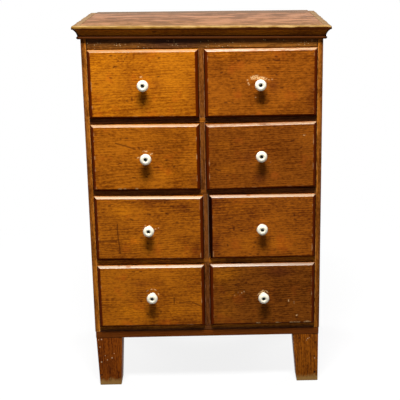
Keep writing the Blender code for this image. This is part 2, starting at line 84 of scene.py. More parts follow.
def eased_block(name, low, high, ease, axis, foot_low=None, foot_high=None):
    """A block with every edge rounded: a rounded rectangle carried along one axis.

    At a height of ease * (1 - cos a) above an end, the section is the block's inner rectangle grown by
    ease * sin a, so the end edges follow a quarter circle. A taper blends the section's corners from
    foot_low and foot_high at the lower end to low and high at the upper.
    """
    low, high = np.array(low), np.array(high)
    foot_low = low if foot_low is None else np.array(foot_low)
    foot_high = high if foot_high is None else np.array(foot_high)
    across = [(axis + 1) % 3, (axis + 2) % 3]
    turn = np.radians(np.linspace(FIRST_TURN, 90, CORNER_STEPS))
    rise = ease * (1 - np.cos(turn))
    length = high[axis] - low[axis]
    height = np.concatenate([rise, length - rise[::-1]])
    radius = np.concatenate([ease * np.sin(turn), ease * np.sin(turn[::-1])])
    share = (height / length)[:, None]
    section_low = foot_low[across] * (1 - share) + low[across] * share + ease
    section_high = foot_high[across] * (1 - share) + high[across] * share - ease
    angle = np.radians(np.concatenate([np.linspace(0, 90, CORNER_STEPS) + q for q in (0, 90, 180, 270)]))
    to_high = np.repeat(np.array([[1, 1], [0, 1], [0, 0], [1, 0]], bool), CORNER_STEPS, axis=0)
    corner = np.where(to_high[None], section_high[:, None], section_low[:, None])
    around = np.stack([np.cos(angle), np.sin(angle)], axis=-1)
    rings = np.empty((len(height), len(angle), 3))
    rings[:, :, across] = corner + radius[:, None, None] * around[None]
    rings[:, :, axis] = low[axis] + height[:, None]
    return tube_mesh(name, rings)


def placed(name, mesh, finish, body, slot, *nodes):
    """The finished piece: its mesh takes the finish, rides on its body and stands for its CAD nodes."""
    mesh.materials.clear()
    mesh.materials.append(finish)
    piece = bpy.data.objects.new(name, mesh)
    bpy.context.scene.collection.objects.link(piece)
    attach(piece, body)
    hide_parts(*nodes)
    return piece


class Signal:
    """A shader node's output, which the signs of arithmetic add, subtract and multiply in its own tree."""

    def __init__(self, socket):
        self.socket = socket
        self.tree = socket.id_data

    def math(self, operation, *others):
        return node(self.tree, "Math", {"operation": operation}, self, *others)["Value"]

    def vector(self, operation, *others, output="Vector"):
        return node(self.tree, "VectorMath", {"operation": operation}, self, *others)[output]

    def scaled(self, x, y, z):
        return self.vector("MULTIPLY", (x, y, z))

    def length(self):
        return self.vector("LENGTH", output="Value")

    def xyz(self):
        return list(node(self.tree, "SeparateXYZ", Vector=self).values())

    def most(self, other):
        return self.math("MAXIMUM", other)

    def __add__(self, other):
        return self.math("ADD", other)

    def __sub__(self, other):
        return self.math("SUBTRACT", other)

    def __rsub__(self, other):
        return node(self.tree, "Math", {"operation": "SUBTRACT"}, other, self)["Value"]

    def __mul__(self, other):
        return self.math("MULTIPLY", other)

    def __abs__(self):
        return self.math("ABSOLUTE")


def feed(socket, value):
    """Links a signal to an input, or sets a plain value there, a colour being given without its alpha."""
    if isinstance(value, Signal):
        value.tree.links.new(value.socket, socket)
    else:
        socket.default_value = (*value, 1) if socket.type == "RGBA" else value


def node(tree, kind, settings=None, *values, **inputs):
    """A new shader node's outputs by name. Its inputs are given in order or by name, with _ for a space."""
    made = tree.nodes.new("ShaderNode" + kind)
    for key, value in (settings or {}).items():
        setattr(made, key, value)
    for index, value in enumerate(values):
        feed(made.inputs[index], value)
    for key, value in inputs.items():
        feed(made.inputs[key.replace("_", " ")], value)
    return {output.name: Signal(output) for output in made.outputs}


def noise(place, scale, detail=2.0, roughness=0.5):
    """Noise about 0.5. Its scale is one number, or one for each axis where the noise is stretched."""
    if isinstance(scale, tuple):
        place, scale = place.scaled(*scale), 1.0
    return node(place.tree, "TexNoise", Vector=place, Scale=scale, Detail=detail, Roughness=roughness)["Fac"]


def ramp(value, start, end, first=0.0, last=1.0):
    """A smooth step from one value to another as the input goes from start to end."""
    smooth = {"interpolation_type": "SMOOTHSTEP"}
    return node(value.tree, "MapRange", smooth, value, start, end, first, last)["Result"]


def blend(share, first, second, kind="MIX"):
    """A colour between two others, or, with another kind, mixed from them in that way."""
    tree = next(value.tree for value in (share, first, second) if isinstance(value, Signal))
    made = tree.nodes.new("ShaderNodeMix")
    made.data_type = "RGBA"
    made.blend_type = kind
    for index, value in ((0, share), (6, first), (7, second)):
        feed(made.inputs[index], value)
    return Signal(made.outputs[2])


def new_group(name, inputs, outputs):
    """An empty node group with these sockets, given as their kinds by name, and its two ends."""
    tree = bpy.data.node_groups.new(name, "ShaderNodeTree")
    for way, sockets in (("INPUT", inputs), ("OUTPUT", outputs)):
        for label, kind in sockets.items():
            tree.interface.new_socket(label, in_out=way, socket_type="NodeSocket" + kind)
    start = tree.nodes.new("NodeGroupInput").outputs
    end = tree.nodes.new("NodeGroupOutput").inputs
    return tree, {label: Signal(start[label]) for label in inputs}, end


def use(group, **inputs):
    """A node group placed in its Vector's tree with its own values, giving its outputs by name."""
    return node(inputs["Vector"].tree, "Group", {"node_tree": group}, **inputs)


# How fine each figure of the grain is, along the log and the two ways across it
SWAY_SCALE = (2.5, 12, 12)
STREAK_SCALE = (10, 380, 380)
BLOTCH_SCALE = (10, 17, 17)
CURL_SCALE = (140, 330, 330)
PORE_SCALE = (80, 1300, 1300)
PITH_SWAY = 0.022
# A ring darkens over the first of these shares of its width and ends sharply over the second
LATE_WOOD = (0.2, 0.85)
RING_END = (0.88, 1.0)
LATE_WOOD_MEAN = 0.35
STAIN_MEAN = 0.42
PORE_LEVELS = (0.62, 0.72)
PORE_RELIEF = 0.6
STREAK_RELIEF = 0.7


def grain_group():
    """Growth rings and pores of a board, whose log runs along X.

    A point's ring is its distance from the pith, which sways slowly along the log. Long streaks, slow blotches
    and a figure of short curly flecks change the stain between a light and a dark colour, and pores are dashes.
    """
    inputs = {"Vector": "Vector", "Light": "Color", "Dark": "Color"}
    inputs |= dict.fromkeys(("Rings", "Ring Depth", "Streaks", "Blotches", "Pores", "Figure"), "Float")
    tree, start, end = new_group("wood_grain", inputs, {"Color": "Color", "Height": "Float"})
    log = start["Vector"]
    x, y, z = log.xyz()
    reach = (y * y + z * z).math("SQRT") + noise(log, SWAY_SCALE) * PITH_SWAY
    ring = (reach * start["Rings"]).math("FRACT")
    late = ramp(ring, *LATE_WOOD) * ramp(ring, *RING_END, 1.0, 0.0)
    streak = noise(log, STREAK_SCALE, 4.0, 0.65)
    blotch = noise(log, BLOTCH_SCALE, 3.0, 0.55)
    curl = noise(log, CURL_SCALE, 3.0, 0.6)
    pore = ramp(noise(log, PORE_SCALE, 1.0), *PORE_LEVELS)
    dark = (late - LATE_WOOD_MEAN) * start["Ring Depth"] + STAIN_MEAN
    dark = dark + (streak - 0.5) * start["Streaks"]
    dark = dark + (blotch - 0.5) * start["Blotches"]
    dark = dark + (curl - 0.5) * start["Figure"]
    dark = dark + pore * start["Pores"]
    share = node(tree, "Clamp", Value=dark)["Result"]
    feed(end["Color"], blend(share, start["Light"], start["Dark"]))
    feed(end["Height"], 1.0 - (pore * PORE_RELIEF + streak * STREAK_RELIEF))
    return tree


SPECK_RAG = 0.25
SPECK_RAG_SCALE = 900.0
SPECK_CORE = 0.6


def specks_group():
    """Scattered spots: one round each chosen cell point of a Voronoi pattern, with a ragged rim."""
    inputs = {"Vector": "Vector", "Scale": "Float", "Share": "Float", "Size": "Float"}
    tree, start, end = new_group("specks", inputs, {"Mask": "Float"})
    cells = node(tree, "TexVoronoi", Vector=start["Vector"], Scale=start["Scale"])
    reach = noise(start["Vector"], SPECK_RAG_SCALE) * SPECK_RAG + cells["Distance"]
    size = start["Size"] + SPECK_RAG / 2
    pick = node(tree, "SeparateColor", Color=cells["Color"])["Red"]
    feed(end["Mask"], ramp(reach, size, size * SPECK_CORE) * pick.math("LESS_THAN", start["Share"]))
    return tree


ARRIS_RAG_SCALE = 55.0
ARRIS_RAG_LEVELS = (0.38, 0.72)
ARRIS_WIDTH_SHARES = (0.1, 1.6)


def arris_group():
    """How rubbed a block's edges are, from the distance to its nearest edge.

    On the face of a block the nearest of the six faces is the one that the point lies on, so the distance
    to the nearest edge is the middle one of the distances to the nearest face along X, Y and Z.
    """
    inputs = {"Vector": "Vector", "Low": "Vector", "High": "Vector", "Width": "Float"}
    tree, start, end = new_group("rubbed_arrises", inputs, {"Mask": "Float"})
    place = start["Vector"]
    above, below = place.vector("SUBTRACT", start["Low"]), start["High"].vector("SUBTRACT", place)
    x, y, z = above.vector("MINIMUM", below).xyz()
    middle = x.math("MINIMUM", y).most(x.most(y).math("MINIMUM", z))
    rag = noise(place, ARRIS_RAG_SCALE, 3.0, 0.6)
    width = start["Width"] * ramp(rag, *ARRIS_RAG_LEVELS, *ARRIS_WIDTH_SHARES)
    feed(end["Mask"], ramp(middle, width, 0.0))
    return tree


wood_grain, specks, rubbed_arrises = grain_group(), specks_group(), arris_group()
GRAIN_TURN = {"X": (0, 0, 0), "Y": (0, 0, -pi / 2), "Z": (0, pi / 2, 0)}
GRAIN_RELIEF = 0.0004
BOARD_BUMP = 0.12
HEIGHT_RANGE = (0.2, 0.8)
PORE_ROUGHNESS = 0.1
RUBBED_ROUGHNESS = 0.25
# The dark specks of a board: their shortening along the log, which draws them out, their strength and shade
SPECK_DRAW = (0.45, 1, 1)
SPECK_STRENGTH = 0.75
SPECK_SHADE = 0.25


def bare_material(name):
    """A new material, the inputs of its Principled shader, and the piece's own coordinates."""
    made = bpy.data.materials.new(name)
    made.use_nodes = True
    tree = made.node_tree
    return made, tree.nodes["Principled BSDF"].inputs, node(tree, "TexCoord")["Object"]


def grained(place, grain, pith, tilt, **values):
    """The grain of a board cut from a log whose pith lies at an offset and a small tilt from it."""
    turn = tuple(a + b for a, b in zip(GRAIN_TURN[grain], tilt))
    log = node(place.tree, "Mapping", Vector=place, Rotation=turn, Location=pith)["Vector"]
    return log, use(wood_grain, Vector=log, **values)


def relief(height, strength):
    """The normal of a surface with the shallow relief of its grain."""
    return node(height.tree, "Bump", Strength=strength, Distance=GRAIN_RELIEF, Height=height)["Normal"]


def wood(name, box, grain, light, dark, bare, pith=(0, 0.05, 0.03), tilt=(0, 0.04, 0.03), rings=240.0,
         ring_depth=0.35, streaks=0.9, blotches=0.7, pores=0.25, figure=0.8, wear=0.003, worn=0.8, flecks=0.08,
         gloss=0.42, sheen=0.04):
    """A stained and varnished board: its grain, darker specks, and bare wood where its edges are rubbed.

    Gives the material, its shader's inputs, the piece's coordinates and the colour so far.
    """
    made, shader, place = bare_material(name)
    log, tones = grained(place, grain, pith, tilt, Light=light, Dark=dark, Rings=rings, Ring_Depth=ring_depth,
                         Streaks=streaks, Blotches=blotches, Pores=pores, Figure=figure)
    spots = use(specks, Vector=log.scaled(*SPECK_DRAW), Scale=70.0, Share=flecks, Size=0.22)["Mask"]
    stained = blend(spots * SPECK_STRENGTH, tones["Color"], [SPECK_SHADE * part for part in dark])
    rubbed = use(rubbed_arrises, Vector=place, Low=box[0], High=box[1], Width=wear)["Mask"] * worn
    colour = blend(rubbed, stained, bare)
    feed(shader["Base Color"], colour)
    sealed = ramp(tones["Height"], *HEIGHT_RANGE, gloss + PORE_ROUGHNESS, gloss)
    feed(shader["Roughness"], rubbed * RUBBED_ROUGHNESS + sealed)
    feed(shader["Specular IOR Level"], sheen)
    feed(shader["Normal"], relief(tones["Height"], BOARD_BUMP))
    return made, shader, place, colour


def tinted(colour, red, green):
    """A colour with its red and its green each multiplied by a value."""
    factor = node(colour.tree, "CombineColor", Red=red, Green=green, Blue=1.0)["Color"]
    return blend(1.0, colour, factor, "MULTIPLY")


SPOT_CORE = 0.4


def spots_at(place, centres):
    """Round spots on an upright face of a board, each given as its X, its Z and its radius."""
    mask = 0.0
    for x, z, radius in centres:
        reach = place.scaled(1, 0, 1).vector("SUBTRACT", (x, 0, z)).length()
        mask = ramp(reach, radius, SPOT_CORE * radius).most(mask)
    return mask


FOOT_LIGHT = {"left": (0.240, 0.054, 0.003), "right": (0.315, 0.086, 0.004)}
FOOT_DARK = {"left": (0.070, 0.012, 0.001), "right": (0.090, 0.018, 0.001)}
FOOT_ARRIS = (0.040, 0.009, 0.001)
TOE_PALE = (0.38, 0.21, 0.060)
TOE_WEAR_HEIGHT = 0.019
TOE_RAGGED_BY = 0.030
TOE_RAG_SCALE = (80, 80, 40)
TOE_SCOURED = 0.85
PAINT_FLECK = (0.62, 0.42, 0.24)
PAINT_STRENGTH = 0.8
NAIL_DARK = (0.020, 0.006, 0.003)
# Flecks of paint and dark nail holes on the front feet: X, Z and radius
FOOT_FLECKS = {
    "foot_front_left": [
        (-0.2245, 0.069, 0.0022), (-0.2495, 0.059, 0.0024), (-0.2355, 0.064, 0.0016), (-0.2515, 0.097, 0.0018),
        (-0.2470, 0.116, 0.0020), (-0.2540, 0.115, 0.0014), (-0.2400, 0.075, 0.0012), (-0.2190, 0.080, 0.0012),
    ],
    "foot_front_right": [
        (0.2340, 0.108, 0.0018), (0.2310, 0.104, 0.0012), (0.2375, 0.110, 0.0012), (0.2510, 0.058, 0.0018),
    ],
}
FOOT_NAILS = {
    "foot_front_left": [(-0.2500, 0.026, 0.0028)],
    "foot_front_right": [
        (0.2510, 0.022, 0.0034), (0.2140, 0.110, 0.0024), (0.2505, 0.063, 0.0022), (0.2520, 0.098, 0.0018),
    ],
}
for depth, along in (("front", 1), ("back", -1)):
    for side, hand in (("left", 1), ("right", -1)):
        foot = f"foot_{depth}_{side}"
        low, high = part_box(foot)
        toe_low, toe_high = low.copy(), high.copy()
        inner_x, inner_y = (toe_high if hand > 0 else toe_low), (toe_high if along > 0 else toe_low)
        inner_x.x -= hand * FOOT_TAPER
        inner_y.y -= along * FOOT_TAPER
        if foot == "foot_front_left":
            toe_low.x += TOE_LEAN
            toe_high.x += TOE_LEAN
        finish, shader, place, colour = wood(
            f"{foot}_stain", (low, high), "Z", FOOT_LIGHT[side], FOOT_DARK[side], FOOT_ARRIS, wear=0.0022,
            worn=0.7, flecks=0.14, streaks=2.8, figure=2.2, blotches=1.8)
        ragged = (noise(place, TOE_RAG_SCALE, 5.0, 0.7) - 0.5) * TOE_RAGGED_BY + place.xyz()[2]
        scoured = ramp(ragged, TOE_WEAR_HEIGHT, TOE_WEAR_HEIGHT / 3, 0.0, TOE_SCOURED)
        paint = use(specks, Vector=place, Scale=75.0, Share=0.05, Size=0.14)["Mask"]
        paint = paint.most(spots_at(place, FOOT_FLECKS.get(foot, [])))
        colour = blend(scoured, colour, TOE_PALE)
        colour = blend(paint * PAINT_STRENGTH, colour, PAINT_FLECK)
        colour = blend(spots_at(place, FOOT_NAILS.get(foot, [])), colour, NAIL_DARK)
        feed(shader["Base Color"], colour)
        mesh = eased_block(foot, low, high, FOOT_EASE, 2, toe_low, toe_high)
        placed(f"{foot}_block", mesh, finish, "case", "foot_wood", foot)

# Base board
# One wide plank under the whole case, stained like the feet that are glued below it. Its grain runs from side
# to side, and the front edge has gone red and glossy from polish.
BASE_EASE = 0.0012
BASE_LIGHT = (0.190, 0.048, 0.004)
BASE_DARK = (0.080, 0.014, 0.001)
BASE_RUBBED = (0.17, 0.050, 0.010)
low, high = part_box("base_board")
finish = wood("base_stain", (low, high), "X", BASE_LIGHT, BASE_DARK, BASE_RUBBED, wear=0.0022, worn=0.4,
              gloss=0.36)[0]
mesh = eased_block("base_board", low, high, BASE_EASE, 0)
placed("base_plank", mesh, finish, "case", "foot_wood", "base_board")

# Case boards
# Thin boards of the same brown varnished softwood: two sides grooved for the shelf ends, two dividers and three
# shelves halved into each other or grooved, and a bottom shelf. They keep their CAD solids, with the joints cut
# in them, and only their edges are eased.
BOARD_EASE = 0.0006
BOARD_WELD = 0.00001
CASE_LIGHT = (0.340, 0.125, 0.012)
CASE_DARK = (0.120, 0.036, 0.003)
CASE_BARE = (0.52, 0.27, 0.085)
CASE_FIGURE = {"streaks": 2.6, "figure": 2.4, "blotches": 2.2}
# Across a side's front edge: paler towards the inner arris, which is worn, and darker towards the outer one, a
# painted shade of the rounded edge turned away from the light
INNER_EDGE_SHADE = 1.40
OUTER_EDGE_SHADE = 0.62
EDGE_FADE = (0.004, 0.001)
SHADED_GREEN = 0.88
# A pale scrape up the right edge of the lower divider: how it fades across the edge and above its foot
DIVIDER_SCRAPE = (0.150, 0.088, 0.052)
SCRAPE_ACROSS = (0.0024, 0.0012)
SCRAPE_RISE = (0.150, 0.175)
SCRAPE_STRENGTH = 0.85
# Where a shelf crosses a divider its edge lies out of the drawer fronts' shadow, and its painted shade takes its
# own level there
CROSSINGS = {
    "shelf_1": ("upper_divider", 1.30),
    "shelf_2": ("upper_divider", 0.90),
    "shelf_3": ("lower_divider", 0.84),
    "bottom_shelf": ("lower_divider", 0.42),
}
CROSSING_FADE = 0.001


def eased(name, finish, width=BOARD_EASE):
    """A CAD node with this finish, its loose triangles welded and its edges rounded."""
    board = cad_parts[name]
    board.data.materials.clear()
    board.data.materials.append(finish)
    weld = board.modifiers.new("weld", "WELD")
    weld.merge_threshold = BOARD_WELD
    ease = board.modifiers.new("ease", "BEVEL")
    ease.width = width
    ease.segments = 2
    ease.limit_method = "ANGLE"
    shade = board.modifiers.new("shade", "WEIGHTED_NORMAL")
    shade.weight = 100


# Each board's grain, pith, width of rubbed edges, and how bright it is painted at its foot and at its head. On
# the shelves this is painted shade, the shadow of the drawer fronts above their edges, deepest at the bottom
# shelf's foot by the shadowed gap over the base. The left side is paler at its foot, where it is worn, and the
# right side and the dividers are darker towards the foot.
for name, grain, pith, wear, foot_shade, head_shade in (
    ("left_side", "Z", (0, 0.03, 0.02), 0.0016, 1.15, 1.0),
    ("right_side", "Z", (0, 0.06, -0.05), 0.0016, 0.95, 1.0),
    ("upper_divider", "Z", (0, 0.04, 0.06), 0.0016, 0.66, 0.74),
    ("lower_divider", "Z", (0, 0.02, 0.05), 0.0016, 0.54, 0.62),
    ("shelf_1", "X", (0, 0.05, 0.04), 0.0004, 0.40, 0.40),
    ("shelf_2", "X", (0, 0.05, -0.03), 0.0004, 0.52, 0.52),
    ("shelf_3", "X", (0, 0.07, 0.02), 0.0004, 1.35, 1.35),
    ("bottom_shelf", "X", (0, 0.04, 0.05), 0.0004, 0.25, 1.3),
):
    low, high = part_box(name)
    finish, shader, place, colour = wood(f"{name}_varnish", (low, high), grain, CASE_LIGHT, CASE_DARK,
                                         CASE_BARE, pith, wear=wear, sheen=0.02, **CASE_FIGURE)
    x, y, z = place.xyz()
    # Painted shade and light: the board's level from foot to head, darker on a side's outer arris and paler at
    # its worn inner one, and lighter where a shelf crosses a divider
    shade = ramp(z, low.z, high.z, foot_shade, head_shade)
    if name in ("left_side", "right_side"):
        inner, outer = sorted((abs(low.x), abs(high.x)))
        across = ramp(abs(x), inner, outer, INNER_EDGE_SHADE, OUTER_EDGE_SHADE)
        at_front = ramp(y - low.y, *EDGE_FADE)
        shade = shade * ((across - 1.0) * at_front + 1.0)
    if name in CROSSINGS:
        divider, crossing_shade = CROSSINGS[name]
        left, right = (corner.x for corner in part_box(divider))
        past_edge = abs(x - (left + right) / 2) - (right - left) / 2
        crossing = ramp(past_edge, CROSSING_FADE, -CROSSING_FADE)
        shade = crossing * (crossing_shade - shade) + shade
    colour = tinted(colour, shade, shade * SHADED_GREEN)
    if name == "lower_divider":
        scraped = ramp(high.x - x, *SCRAPE_ACROSS) * ramp(z - low.z, *SCRAPE_RISE, 0.0, SCRAPE_STRENGTH)
        colour = blend(scraped, colour, DIVIDER_SCRAPE)
    feed(shader["Base Color"], colour)
    eased(name, finish)

# Top rail
# A narrow board of the same wood between the sides, under the cornice. It is painted darker than the other
# boards, and darker still in a band under the cornice, a painted shadow of it. Paint has spattered it in two or
# three places, and dirt fills the joints at its ends.
# Painted shade: its level low on the rail and at its head, the heights below the top between which it deepens
# into the cornice's painted shadow, and how far and where along the rail that band rises to the right with the
# warped top
RAIL_SHADE = 0.76
RAIL_HEAD_SHADE = 0.32
RAIL_LIT_BAND = 0.053
RAIL_DARK_BAND = 0.031
RAIL_BAND_RISE = 0.0045
RAIL_BAND_TURN = (-0.02, 0.22)
RAIL_STAIN = 0.52
RAIL_STAIN_X = -0.060
RAIL_STAIN_REACH = (0.085, 0.030)
RAIL_SPATTER = (0.58, 0.40, 0.20)
SPATTER_SCALE = (14, 1, 60)
SPATTER_LEVELS = (0.45, 0.54)
RAIL_DIRT = (0.020, 0.006, 0.002)
RAIL_DIRT_REACH = (0.0026, 0.0010)
low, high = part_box("top_rail")
finish, shader, place, colour = wood("top_rail_varnish", (low, high), "X", CASE_LIGHT, CASE_DARK, CASE_BARE,
                                     (0, 0.06, 0.03), wear=0.0006, **CASE_FIGURE)
x, y, z = place.xyz()
top_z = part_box("top_board")[1].z
height = z - ramp(x, *RAIL_BAND_TURN, 0.0, RAIL_BAND_RISE)
shade = ramp(height, top_z - RAIL_LIT_BAND, top_z - RAIL_DARK_BAND, RAIL_SHADE, RAIL_HEAD_SHADE)
shade = shade * ramp(abs(x - RAIL_STAIN_X), *RAIL_STAIN_REACH, 1.0, RAIL_STAIN)
colour = tinted(colour, shade, shade)
spatter = use(specks, Vector=place, Scale=260.0, Share=0.42, Size=0.30)["Mask"]
cluster = ramp(noise(place, SPATTER_SCALE), *SPATTER_LEVELS)
colour = blend(spatter * cluster, colour, RAIL_SPATTER)
colour = blend(ramp(high.x - abs(x), *RAIL_DIRT_REACH), colour, RAIL_DIRT)
feed(shader["Base Color"], colour)
eased("top_rail", finish)

# Back boards
# Two upright boards of cheap unvarnished pine, nailed into the rebates of the sides and to the shelves, and
# grey with age. Dirt has settled along their edges, and the nail heads have rusted.
BACK_LIGHT = (0.40, 0.26, 0.14)
BACK_DARK = (0.21, 0.12, 0.058)
BACK_DIRT = (0.055, 0.030, 0.014)
NAIL_RADIUS = 0.0024
NAIL_INSET = 0.004
NAIL_SPACING = 0.075
SHELF_NAILS = (0.2, 0.5, 0.8)
for number, pith, outward in ((1, (0.0, -0.14, -0.17), -1), (2, (0.4, -0.10, 0.09), 1)):
    name = f"back_board_{number}"
    low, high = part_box(name)
    finish, shader, place, colour = wood(f"{name}_pine", (low, high), "Z", BACK_LIGHT, BACK_DARK, BACK_DIRT,
                                         pith, rings=95.0, ring_depth=0.45, streaks=1.1, wear=0.0032, worn=0.9,
                                         gloss=0.68)
    edge_x = low.x + NAIL_INSET if outward < 0 else high.x - NAIL_INSET
    heads = [(edge_x, z, NAIL_RADIUS) for z in np.arange(low.z + NAIL_SPACING / 2, high.z, NAIL_SPACING)]
    for shelf in ("shelf_1", "shelf_2", "shelf_3", "bottom_shelf"):
        shelf_z = sum(corner.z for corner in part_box(shelf)) / 2
        heads += [(low.x + share * (high.x - low.x), shelf_z, NAIL_RADIUS) for share in SHELF_NAILS]
    feed(shader["Base Color"], blend(spots_at(place, heads), colour, NAIL_DARK))
    eased(name, finish)

# Top board
# A single board laid on the case between the cornice runs, and warped since. Its varnish has gone thin and
# pink-tan, with browner streaks and patches. It is golden along the front and greyer at the back.
TOP_EASE = 0.0008
TOP_FALL = 0.0042
LEVEL_SHARE = 0.15
TOP_LIGHT = (0.270, 0.112, 0.034)
TOP_DARK = (0.070, 0.022, 0.006)
TOP_BARE = (0.24, 0.115, 0.016)
TOP_BROWN = (0.098, 0.034, 0.005)
TOP_PINK = (0.285, 0.125, 0.055)
TOP_FRONT = (0.152, 0.066, 0.0105)
TOP_FRONT_REACH = (0.130, 0.08)
TOP_FRONT_SHARE = 0.62
TOP_GREY = (0.104, 0.052, 0.0186)
TOP_GREY_REACH = (0.060, 0.005)
TOP_GREY_SHARE = 0.8
TOP_RAGGED_BY = 0.05
TOP_RAG_SCALE = (8, 30, 30)
TOP_STREAK_SCALE = (3.5, 30, 1)
TOP_PATCH_SCALE = (16, 32, 1)
low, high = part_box("top_board")
finish, shader, place, colour = wood("top_varnish", (low, high), "X", TOP_LIGHT, TOP_DARK, TOP_BARE,
                                     pith=(0, 0.0, 0.035), rings=150.0, ring_depth=0.3, streaks=2.4,
                                     blotches=1.2, wear=0.002, gloss=0.5, sheen=0.08)
ragged = noise(place, TOP_RAG_SCALE, 3.0) * TOP_RAGGED_BY + place.xyz()[1]
streaks = noise(place, TOP_STREAK_SCALE, 2.0, 0.6)
colour = blend(ramp(streaks, 0.48, 0.43), colour, TOP_BROWN)
colour = blend(ramp(streaks, 0.53, 0.58), colour, TOP_PINK)
colour = blend(ramp(ragged - low.y, *TOP_FRONT_REACH, 0.0, TOP_FRONT_SHARE), colour, TOP_FRONT)
patches = noise(place, TOP_PATCH_SCALE, 5.0, 0.72)
colour = blend(ramp(patches, 0.52, 0.43, 0.0, 0.90), colour, TOP_BROWN)
colour = blend(ramp(patches, 0.50, 0.58, 0.0, 0.75), colour, TOP_PINK)
colour = blend(ramp(high.y - ragged, *TOP_GREY_REACH, 0.0, TOP_GREY_SHARE), colour, TOP_GREY)
feed(shader["Base Color"], colour)


def warped(mesh, foot_z=None):
    """The top has warped: it falls along its front to the right, by TOP_FALL over the case's width, and nothing
    at the back. Above foot_z the fall grows with height, and a piece with no foot_z falls as a whole.

    The height below the top before the fall is kept as an attribute, for finishes that follow the section.
    """
    points = np.empty(3 * len(mesh.vertices))
    mesh.vertices.foreach_get("co", points)
    points = points.reshape(-1, 3)
    box_low, box_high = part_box("top_board")
    across = (points[:, 0] - box_low.x) / (box_high.x - box_low.x) - LEVEL_SHARE
    forward = np.clip((box_high.y - points[:, 1]) / (box_high.y - box_low.y), 0, 1.1)
    rise = 1.0 if foot_z is None else (points[:, 2] - foot_z) / (box_high.z - foot_z)
    drop = mesh.attributes.new("drop", "FLOAT", "POINT")
    drop.data.foreach_set("value", (box_high.z - points[:, 2]).astype(np.float32))
    points[:, 2] -= TOP_FALL * across * forward * rise
    mesh.vertices.foreach_set("co", points.ravel())
    return mesh


mesh = warped(eased_block("top_board", low, high, TOP_EASE, 0), low.z)
placed("top_plank", mesh, finish, "case", "top_wood", "top_board")

# Cornice
# Three lengths of planed moulding, a fillet over a cove and a bead, mitred at the front corners and nailed to
# the edges of the top board and case. Hands have rounded the upper arris and worn it to pale wood, which is
# painted paler still as a highlight. A painted shadow lies under the fillet and in the quirk above the bead, and
# the bead is painted dark as shade.
CORNICE_PROJECTION = 0.016
CORNICE_HEIGHT = 0.0295
FILLET_HEIGHT = 0.0078
FILLET_LIP = 0.0016
COVE_FOOT = 0.005
COVE_HOLLOW = 0.0018
BEAD_FOOT = 0.0032
BEAD_SWELL = 0.0040
BEAD_HALF = 0.0034
ARRIS_RADIUS = 0.0032
CORNICE_STATIONS = 140
# Wear of the arris: how far it reaches, how far it goes back and down, and its ripples' height, pace and phase
WORN_REACH = 0.004
WORN_BACK = 0.0007
WORN_DOWN = 0.0004
RIPPLES = ((0.00035, 61, 0.0), (0.0003, 143, 1.3), (0.00025, 317, 0.0))


def arc(centre, radius, start, end, steps):
    """Points on a circle between two angles in degrees."""
    angle = np.radians(np.linspace(start, end, steps))
    return np.stack([centre[0] + radius * np.cos(angle), centre[1] + radius * np.sin(angle)], axis=-1)


def cornice_section():
    """The section as (projection, height below the top): a round arris, an upright fillet with a small lip
    under it, a shallow parabolic cove from the lip to its foot, and half an ellipse for the bead below."""
    arris = arc((CORNICE_PROJECTION - ARRIS_RADIUS, -ARRIS_RADIUS), ARRIS_RADIUS, 90, 0, 9)
    cove_top = np.array([CORNICE_PROJECTION - FILLET_LIP, -FILLET_HEIGHT])
    cove_foot = np.array([COVE_FOOT, 2 * BEAD_HALF - CORNICE_HEIGHT])
    along = cove_foot - cove_top
    share = np.linspace(0, 1, 13)[:, None]
    inward = np.array([along[1], -along[0]]) / np.hypot(*along)
    cove = cove_top + along * share + inward * 4 * COVE_HOLLOW * share * (1 - share)
    bead = arc((0, 0), 1, 62, -90, 14) * (BEAD_SWELL, BEAD_HALF) + (BEAD_FOOT, BEAD_HALF - CORNICE_HEIGHT)
    fillet = np.array([[CORNICE_PROJECTION, -FILLET_HEIGHT]])
    ends = np.array([[0.0, 0.0]]), np.array([[0.0, -CORNICE_HEIGHT]])
    return np.concatenate([ends[0], arris, fillet, cove, bead, ends[1]])


def cornice_run(name, start, end, out, mitre_start, mitre_end):
    """The section carried in a straight line, its back against the case. At a mitred end each point runs on by
    its own projection, and slow ripples of the upper arris stand for wear by hand."""
    section = cornice_section()
    start, end, out = np.array(start), np.array(end), np.array(out)
    length = np.linalg.norm(end - start)
    along = (end - start) / length
    share = np.linspace(0, 1, CORNICE_STATIONS)[:, None]
    reach = section[None, :, 0]
    travel = -reach * mitre_start * (1 - share) + (length + reach * mitre_end) * share
    ripple = sum(height * np.sin(travel * pace + phase) for height, pace, phase in RIPPLES)
    near_arris = np.exp(-((section[None, :, 1] / WORN_REACH) ** 2)) * (reach > CORNICE_PROJECTION - WORN_REACH)
    out_by = reach - near_arris * (WORN_BACK + ripple)
    drop = section[None, :, 1] - near_arris * (WORN_DOWN + 0.5 * ripple)
    rings = start + along * travel[..., None] + out * out_by[..., None]
    rings[..., 2] += drop
    hand = np.dot(np.cross(along, out), (0, 0, 1))
    return tube_mesh(name, rings if hand < 0 else rings[::-1])


CORNICE_LIGHT = (0.400, 0.116, 0.003)
CORNICE_DARK = (0.165, 0.040, 0.001)
CORNICE_TOP = (0.220, 0.117, 0.034)
CORNICE_TOP_DARK = (0.150, 0.072, 0.015)
# The arris: pale worn wood, painted paler still as a highlight where the rounded edge catches the light
CORNICE_PALE_AND_HIGHLIGHT = (0.36, 0.222, 0.078)
CORNICE_GOLD = (0.20, 0.100, 0.016)
# The lower fillet's dark varnish, carried on below it as a painted shadow under the fillet
CORNICE_FILLET_AND_SHADOW = (0.032, 0.006, 0.0005)
# A painted shadow in the quirk between the cove and the bead
CORNICE_QUIRK_SHADOW = (0.026, 0.005, 0.0004)
# The bead painted dark, a painted shade that keeps its rounded top from catching the light
CORNICE_BEAD_SHADE = (0.078, 0.020, 0.0022)
CORNICE_CORNER = (0.016, 0.003, 0.0004)
